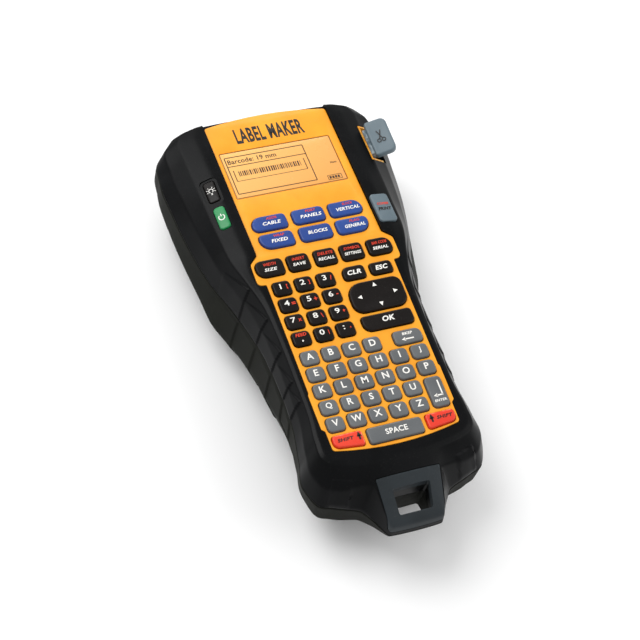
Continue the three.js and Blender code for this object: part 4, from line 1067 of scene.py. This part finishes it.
# One letter a little above each grey key's middle.
def letterLegends():
    rows = ["ABCD", "EFGHIJ", "KLMNOP", "QRSTU", "VWXYZ"]
    for row, letters in enumerate(rows):
        y = -letter["row"] * row + 0.5
        places = letter["x"] + letter["pitch"] * np.arange(len(letters))
        shapes = [word(text, x, y, inkZ, 3.5) for text, x in zip(letters, places)]
        sign(shapes, f"letters{row + 1}", "inkWhite", f"letter_row_{row + 1}")


# Each digit stands to the left of its key's middle, with a small red mark on its right.
def digitLegends():
    rows = ["123", "456", "789", ".0:"]
    signs = ["[]/", "=+-", "x\\*", " |,"]
    low = {"-": 0.5, "=": 1.3, ",": 1.0, "*": 1.5, "+": 1.9, "x": 1.5}
    for row in range(4):
        y = digit["y"] - digit["row"] * row
        white, red = [], []
        for column in range(3):
            x = digit["x"] + digit["pitch"] * column
            text = rows[row][column]
            if row == 3 and column == 0:
                red.append(word("FEED", x, y + 1.8, inkZ, 1.7, 5.6, 0.2, 0.04))
                white.append(word(text, x, y - 1.6, inkZ, 0.9, weight=0.05))
                continue
            tall = 2.2 if text == ":" else 2.9
            white.append(word(text, x - 0.8, y + 0.8, inkZ, tall, weight=0.02, stretch=1.35))
            mark = signs[row][column]
            red.append(word(mark, x + 2.5, y + 0.2, inkZ, low.get(mark, 2.5)))
        sign(white, f"digits{row + 1}", "inkWhite", f"number_row_{row + 1}")
        sign(red, f"digitMarks{row + 1}", "inkRed", f"number_row_{row + 1}")


# Words on the blue keys: text, its width, its small red word or none, and the key's middle.
hotWords = {
    1: [("CABLE", 9.6, "ADDR", -20.5), ("PANELS", 11.4, "PORT", 0.3), ("VERTICAL", 12.4, "BLOCK", 20.2)],
    2: [("FIXED", 8.6, "WRAP", -20.2), ("BLOCKS", 10.4, None, 0.3), ("GENERAL", 11.0, "FLAG", 20.05)],
}


def hotLegends():
    for row, y in ((1, 77.9), (2, 67)):
        white, red = [], []
        for text, wideText, small, x in hotWords[row]:
            down = 0.6 if small else -0.2
            white.append(word(text, x + 1, y - down, inkZ, 2.0, wideText, 0.22, 0.04))
            if small:
                red.append(word(small, x + 1.6, y + 2.3, inkZ, 1.4, 5.6, 0.22, 0.02))
        sign(white, f"hotWords{row}", "inkWhite", f"hot_key_row_{row}", lean=True)
        sign(red, f"hotMarks{row}", "inkRed", f"hot_key_row_{row}", lean=True)


# Words on the function keys: text, its small red word, the key's middle and the space they share.
functionWords = [("SIZE", "WIDTH", -29.2, 7.4), ("SAVE", "INSERT", -14.3, 7.6),
                 ("RECALL", "DELETE", -0.1, 9.4), ("SETTINGS", "SYMBOL", 14, 9.8),
                 ("SERIAL", "BAR CODE", 28.8, 9.2)]


def functionLegends():
    white, red = [], []
    for text, small, x, room in functionWords:
        white.append(word(text, x, 50.9, inkZ, 1.7, room * 0.9, 0.22, 0.04))
        red.append(word(small, x + 0.3, 53.9, inkZ, 1.6, room * 0.88, 0.22, 0.02))
    sign(white, "functionWords", "inkWhite", "function_key_row")
    sign(red, "functionMarks", "inkRed", "function_key_row")


def commandLegends():
    sign([word("CLR", 10.7, 40.2, inkZ, 2.6, 7.2, 0.22, 0.05)], "clearWord", "inkWhite", "clear_key")
    sign([word("ESC", 25.2, 40, inkZ, 2.6, 6.6, 0.22, 0.05)], "escapeWord", "inkWhite", "escape_key")
    sign([word("OK", 18.3, 11.7, inkZ, 3.0, 6.6, 0.2, 0.05)], "okWord", "inkWhite", "ok_key")
    heads = [(17.9, 31.2, math.pi / 2), (17.9, 20.2, -math.pi / 2), (8.6, 25.7, math.pi), (27.2, 25.7, 0)]
    sign([arrowhead(x, y, 1.3, angle) for x, y, angle in heads], "padArrows", "inkWhite", "arrow_pad")
    low, high = thin
    back = [stroke([[26.6, -1.5], [21.8, -1.5]], 0.7, low, high), arrowhead(21.4, -1.5, 1.2, math.pi)]
    back.insert(0, word("BKSP", 24.1, 1.5, inkZ, 1.5, 5.4, 0.15, 0.05))
    sign(back, "backspaceSign", "inkWhite", "backspace_key")
    enter = [stroke([[29.0, -26.2], [29.0, -34.1]], 0.7, low, high),
             stroke([[29.3, -34.1], [25.8, -34.1]], 0.7, low, high), arrowhead(25.5, -34.1, 1.2, math.pi),
             word("ENTER", 27.05, -36.8, inkZ, 1.3, 6.2, 0.1, 0.05)]
    sign(enter, "enterSign", "inkWhite", "enter_key")
    sign([word("SPACE", 0.4, -46.2, inkZ, 2.9, 11.2)], "spaceWord", "inkWhite", "space_key")
    for name, wordX, arrowX in (("left", -25.0, -18.2), ("right", 25.6, 19.0)):
        parts = [word("SHIFT", wordX, -45.2, inkZ, 1.8, 8.2, 0.2, 0.05),
                 stroke([[arrowX, -46.9], [arrowX, -44.6]], 0.9, low, high),
                 arrowhead(arrowX, -44.2, 1.5, math.pi / 2)]
        sign(parts, name + "ShiftSign", "inkBlack", name + "_shift_key")


letterLegends()
digitLegends()
hotLegends()
functionLegends()
commandLegends()
sign([word("LABEL MAKER", -0.8, 134.3, 0.012, 9.6, 37, 0.0, 0.045)], "plateWords", "inkBlack", lean=True)
print("lettering")


# The screen's lines: a frame with a title over a divider, a bracketed row of bars, and a charge sign.
screen = {"left": -29.3, "right": 12.9, "foot": 98.7, "head": 122.0, "divider": 116.2,
          "bracket": (-27.2, 10.6), "bracketFoot": 106.6, "bracketHead": 113.6,
          "bars": (-25.0, 8.6), "barFoot": 109.4, "barHead": 112.6}


# Four lines round a box.
def boxLines(left, right, foot, head, width, low, high):
    corners = np.array([[left, foot], [right, foot], [right, head], [left, head]])
    return [stroke(corners[[i, (i + 1) % 4]], width, low, high) for i in range(4)]


# Upright bars of three widths with two gaps, drawn at random.
def barRow(low, high):
    x, last = screen["bars"]
    bars = []
    while x < last:
        width = float(rng.choice([0.28, 0.5, 0.75]))
        corners = spanCorners(x, x + width, screen["barFoot"], screen["barHead"], 0.02)
        bars.append(block(corners, low, high, 1))
        x += width + float(rng.choice([0.4, 0.6]))
    return bars


def buildDisplay():
    corners = boxCorners(display["x"], display["y"], display["width"], display["height"], display["radius"])
    outline, normals = roundedOutline(corners, 4)
    pane = pillow(outline, normals, -display["thickness"], 0.0, 0.3, 0.0, 3, 3)
    dress(makePiece("windowPane", leaned(pane)), finish["windowAmber"], "case", 40,
          ["display_window"])
    low, high = -0.005, 0.02
    left, right, foot = screen["left"], screen["right"], screen["bracketFoot"]
    shapes = boxLines(left, right, screen["foot"], screen["head"], 0.5, low, high)
    shapes.append(stroke([[left, screen["divider"]], [right, screen["divider"]]], 0.45, low, high))
    shapes += barRow(low, high)
    for end in screen["bracket"]:
        shapes.append(stroke([[end, foot], [end, screen["bracketHead"]]], 0.45, low, high))
    shapes += [stroke([[end, foot] for end in screen["bracket"]], 0.3, low, high),
               word("Barcode: 19 mm", -15.4, 119.1, high, 2.9, 26, 0, 0.02),
               word("Num", 25, 107.9, high, 1.2, 3.4, 0, 0.04)]
    for cell in 19.6 + 1.5 * np.arange(4):
        shapes.append(block(spanCorners(cell, cell + 1.1, 97.8, 99.4, 0.05), low, high, 1))
    shapes += boxLines(18.9, 26.2, 97.2, 100.0, 0.3, low, high)
    sign(shapes, "displayMarks", "inkBrown", lean=True)
    edge = boxCorners(display["x"], display["y"], display["width"] - 0.5, display["height"] - 0.5, 0.5)
    rim = stroke(roundedOutline(edge, 3)[0], 0.25, low, high, loop=True)
    sign([rim], "windowLine", "inkBrown", lean=True)


buildDisplay()
print("display")


# Each shoulder button is a cap with a lip that keeps it under the shell.
def buildShoulderButtons():
    for name, button in shoulderButtons.items():
        outline, normals = roundedOutline(buttonCorners(button), 6)
        crown = 0.3 if name == "print_button" else 0.15
        cap = pillow(outline, normals, -buttonDepth - 0.8, button["proud"] - crown, 0.7, crown)
        lip = block(buttonCorners(button, 0.5), -buttonDepth - 1.2, -buttonDepth)
        piece = makePiece(name + "_cap", onShoulder(combine([cap, lip]), button))
        dress(piece, finish[button["finish"]], name, 40, [name])


# An arc about a middle, or a whole circle.
def circle(x, y, radius, start=0.0, end=2 * math.pi, count=24):
    angle = np.linspace(start, end, count, endpoint=abs(end - start) < 6.2)
    return np.column_stack([x + radius * np.cos(angle), y + radius * np.sin(angle)])


# The power ring, the lamp with its rays and the words on the print button.
def buttonSigns():
    power = shoulderButtons["power_button"]
    low, high = power["proud"] - 0.01, power["proud"] + 0.02
    ring = stroke(circle(0, 0, 1.5, math.radians(125), math.radians(415)), 0.45, low, high)
    bar = stroke([[0, 0.6], [0, 2.1]], 0.45, low, high)
    sign([onShoulder(combine([ring, bar]), power)], "powerSign", "inkWhite", "power_button")
    light = shoulderButtons["backlight_button"]
    low, high = light["proud"] - 0.01, light["proud"] + 0.02
    rays = [stroke([[r * math.cos(a), 0.5 + r * math.sin(a)] for r in (1.7, 2.4)], 0.28, low, high)
            for a in np.radians([-20, 20, 60, 120, 160, 200])]
    bulb = [stroke(circle(0, 0.5, 1.1, math.radians(-55), math.radians(235)), 0.35, low, high),
            stroke([[-0.5, -1.2], [0.5, -1.2]], 0.3, low, high),
            stroke([[-0.4, -1.8], [0.4, -1.8]], 0.3, low, high)]
    sign([onShoulder(combine(rays + bulb), light)], "lightSign", "inkWhite", "backlight_button")
    printer = shoulderButtons["print_button"]
    high = printer["proud"] + 0.02
    printWord = onShoulder(word("PRINT", 0, -1.2, high, 2.0, 7.4, 0.22, 0.07), printer)
    printMark = onShoulder(word("COPIES", 0, 2.0, high, 1.4, 6.4, 0.22, 0.05), printer)
    sign([printWord], "printWord", "inkBlack", "print_button")
    sign([printMark], "printMark", "inkRed", "print_button")


buildShoulderButtons()
buttonSigns()

lever = {"low": 106.6, "high": 127.6, "inner": 48.6, "outer": 59.6, "innerTop": -3.0, "outerTop": 0.6,
         "thickness": 3.0, "pivotX": 46.6, "pivotZ": -13.0, "arm": 16.0, "railLow": 136.2, "railHigh": 137.9}


# The paddle's own layout: x from its inner edge outwards along its slope, y from its middle.
def onPaddle(shape):
    rise = math.atan2(lever["outerTop"] - lever["innerTop"], lever["outer"] - lever["inner"])
    place = (lever["inner"], (lever["low"] + lever["high"]) / 2, lever["innerTop"])
    return moved(shape, place, turnAbout("Y", -rise))


# The lever: a paddle outside the case, and a root, a shaft and an arm inside it.
def buildLever():
    width = math.hypot(lever["outer"] - lever["inner"], lever["outerTop"] - lever["innerTop"])
    length = lever["high"] - lever["low"]
    middle = width / 2
    outline, normals = roundedOutline(boxCorners(middle, 0, width, length, [3.2, 1.6, 1.6, 3.2]), 7)
    paddle = pillow(outline, normals, -lever["thickness"], -0.1, 1.1, -0.25, 6, 6)
    x, z = lever["pivotX"], lever["pivotZ"]
    root = slab((x + 1.2, lever["low"] + 3, z - 1), (x + 4.6, lever["high"] - 3, lever["innerTop"] - 2.2))
    profile = [[0.9, lever["low"] + 1], [1.8, lever["low"] + 1.6], [1.8, lever["railHigh"]]]
    shaft = turned(profile, 28, (x, 0, z), "Y")
    arm = slab((x - 1.2, lever["railLow"], z - lever["arm"]), (x + 1.2, lever["railHigh"], z))
    piece = makePiece("leverBody", combine([onPaddle(paddle), root, shaft, arm]))
    dress(piece, finish["leverGrey"], "cutter_lever", 40, ["cutter_lever"])
    low, high = -0.1, 0.02
    loops = [stroke(circle(middle + s * 1.25, -2.6, 0.95), 0.42, low, high, loop=True) for s in (-1, 1)]
    blades = [stroke([[middle + s * 0.8, -1.8], [middle - s * 1.1, 3.4]], 0.5, low, high) for s in (-1, 1)]
    sign([onPaddle(combine(loops + blades))], "scissorsSign", "inkBlack", "cutter_lever")


buildLever()
print("buttons and lever")


# Each leaf hangs from its barrel. Its face has a field of sunken ribs, an arrow and a finger notch.
def buildDoor(name, door):
    back = face["back"]
    left, right, low, hinge = door["left"], door["right"], door["low"], door["hinge"]
    sheet = block(spanCorners(left, right, low, hinge, 1.5), back, back + doorLeaf["thickness"])
    leaf = makePiece(name + "_leaf", sheet)
    radius = doorLeaf["barrel"]
    barrel = turned([[radius, left], [radius, right]], 24, (0, hinge, back + radius), "X")
    carve(leaf, [tool(barrel)], "UNION")
    middle = (left + right) / 2
    tools = [tool(slab((middle - 7, low - 1, back - 1), (middle + 7, low + 1.6, back + 1)))]
    for rib in range(7):
        y = low + 5 + 1.9 * rib
        half = 11 - 0.9 * rib
        groove = spanCorners(middle - half, middle + half, y, y + 0.9, 0.4)
        tools.append(tool(block(groove, back - 1, back + 0.7, 3)))
    arrow = np.array([[0, -3.4], [3.6, 1.4], [1.3, 1.4], [1.3, 4.4], [-1.3, 4.4], [-1.3, 1.4], [-3.6, 1.4]])
    tools.append(tool(prism(arrow + [middle, low + 24], back - 1, back + 0.5)))
    carve(leaf, tools)
    bevelled(leaf, 0.25, 2, 50)
    dress(leaf, finish["gripRubber"], name, 35, [name])


for doorName, door in doors.items():
    buildDoor(doorName, door)
print("doors")


# Each screw is turned about its own axis and has a cross cut into its head.
def buildScrews():
    for index, (x, y, head) in enumerate(screwPlaces):
        profile = [[0.3, head + 0.35], [2.2, head + 0.1], [2.7, head], [3.0, head + 0.45], [3.0, head + 2],
                   [1.4, head + 2], [1.4, -13.8], [0.9, -13]]
        name = f"case_screw_{index + 1}"
        screw = makePiece(name + "_turned", turned(profile, 32, (x, y, 0)))
        cross = [tool(slab((x - a, y - b, head - 1), (x + a, y + b, head + 1.1)))
                 for a, b in ((1.8, 0.35), (0.35, 1.8))]
        carve(screw, cross)
        dress(screw, finish["steel"], "case", 35, [name])


buildScrews()

# Finishes of the inner pieces, which keep their first shape.
keptFinishes = {
    "plateYellow": ["cutter_guide"], "windowAmber": ["display_glass"], "rubber": ["key_mat", "platen_roller"],
    "boardGreen": ["main_board"], "keyGrey": ["tape_cassette"],
    "keyBlack": ["ribbon_spool", "take_up_spool", "power_jack"], "brass": ["motor_pinion"],
    "cellGrey": ["battery_pack"],
    "whitePlastic": ["cutter_carriage", "tape_chassis", "label_spool", "platen_gear", "idler_gear"],
    "steel": ["display_frame", "cutter_blade", "cutter_spring", "cutter_anvil", "motor", "print_head"],
}
for finishName, nodeNames in keptFinishes.items():
    for nodeName in nodeNames:
        for slot in nodes[nodeName].material_slots:
            slot.material = finish[finishName]


# A pale floor just under the object, and an even white surround.
def buildStage():
    half, drop = 4.0, -0.0004
    corners = [(x * half, y * half, drop) for x, y in ((-1, -1), (1, -1), (1, 1), (-1, 1))]
    mesh = bpy.data.meshes.new("floor")
    mesh.from_pydata(corners, [], [(0, 1, 2, 3)])
    floor = addObject("floor", mesh)
    material, tree, shader = newMaterial("paleFloor")
    feed(tree, shader, [("Base Color", (0.97, 0.97, 0.97, 1)), ("Roughness", 0.8)])
    mesh.materials.append(material)
    world = bpy.data.worlds.new("studio")
    world.use_nodes = True
    feed(world.node_tree, world.node_tree.nodes["Background"], [(0, (1, 1, 1, 1)), (1, 0.62)])
    bpy.context.scene.world = world
    bpy.context.scene.view_settings.view_transform = "Standard"


# Every light looks at the middle of the object.
def addLight(name, place, size, power):
    light = bpy.data.lights.new(name, "AREA")
    light.shape = "RECTANGLE"
    light.size, light.size_y = size
    light.energy = power
    holder = addObject(name, light)
    holder.location = place
    holder.rotation_euler = (Vector((0, 0, 0.03)) - Vector(place)).to_track_quat("-Z", "Y").to_euler()


view = {"azimuth": math.radians(-36.654), "elevation": math.radians(57.256), "roll": math.radians(-19.933),
        "distance": 877.392, "right": -23.1012, "up": 5.454, "lens": 103.2}


# The camera looks back along a direction given by azimuth and elevation, shifted sideways in its own plane
# and rolled about its axis.
def buildCamera():
    azimuth, elevation, roll = view["azimuth"], view["elevation"], view["roll"]
    back = np.array([math.sin(azimuth) * math.cos(elevation), -math.cos(azimuth) * math.cos(elevation),
                     math.sin(elevation)])
    right = np.array([math.cos(azimuth), math.sin(azimuth), 0.0])
    up = np.cross(back, right)
    place = right * view["right"] + up * view["up"] + back * view["distance"]
    across = math.cos(roll) * right - math.sin(roll) * up
    upward = math.sin(roll) * right + math.cos(roll) * up
    turn = Matrix(np.column_stack([across, upward, back]).tolist()).to_4x4()
    camera = bpy.data.cameras.new("camera")
    camera.lens = view["lens"]
    camera.sensor_width = 36
    camera.clip_end = 20
    holder = addObject("camera", camera)
    holder.matrix_world = Matrix.Translation(Vector((place + layoutShift) * mm)) @ turn
    bpy.context.scene.camera = holder


buildStage()
addLight("keyLight", (-0.5, 0.45, 0.9), (0.7, 0.7), 7.5)
addLight("fillLight", (0.8, -0.3, 0.7), (0.8, 0.8), 3)
addLight("rimLight", (0.1, 0.95, 0.35), (0.9, 0.3), 3.5)
buildCamera()
print("stage")
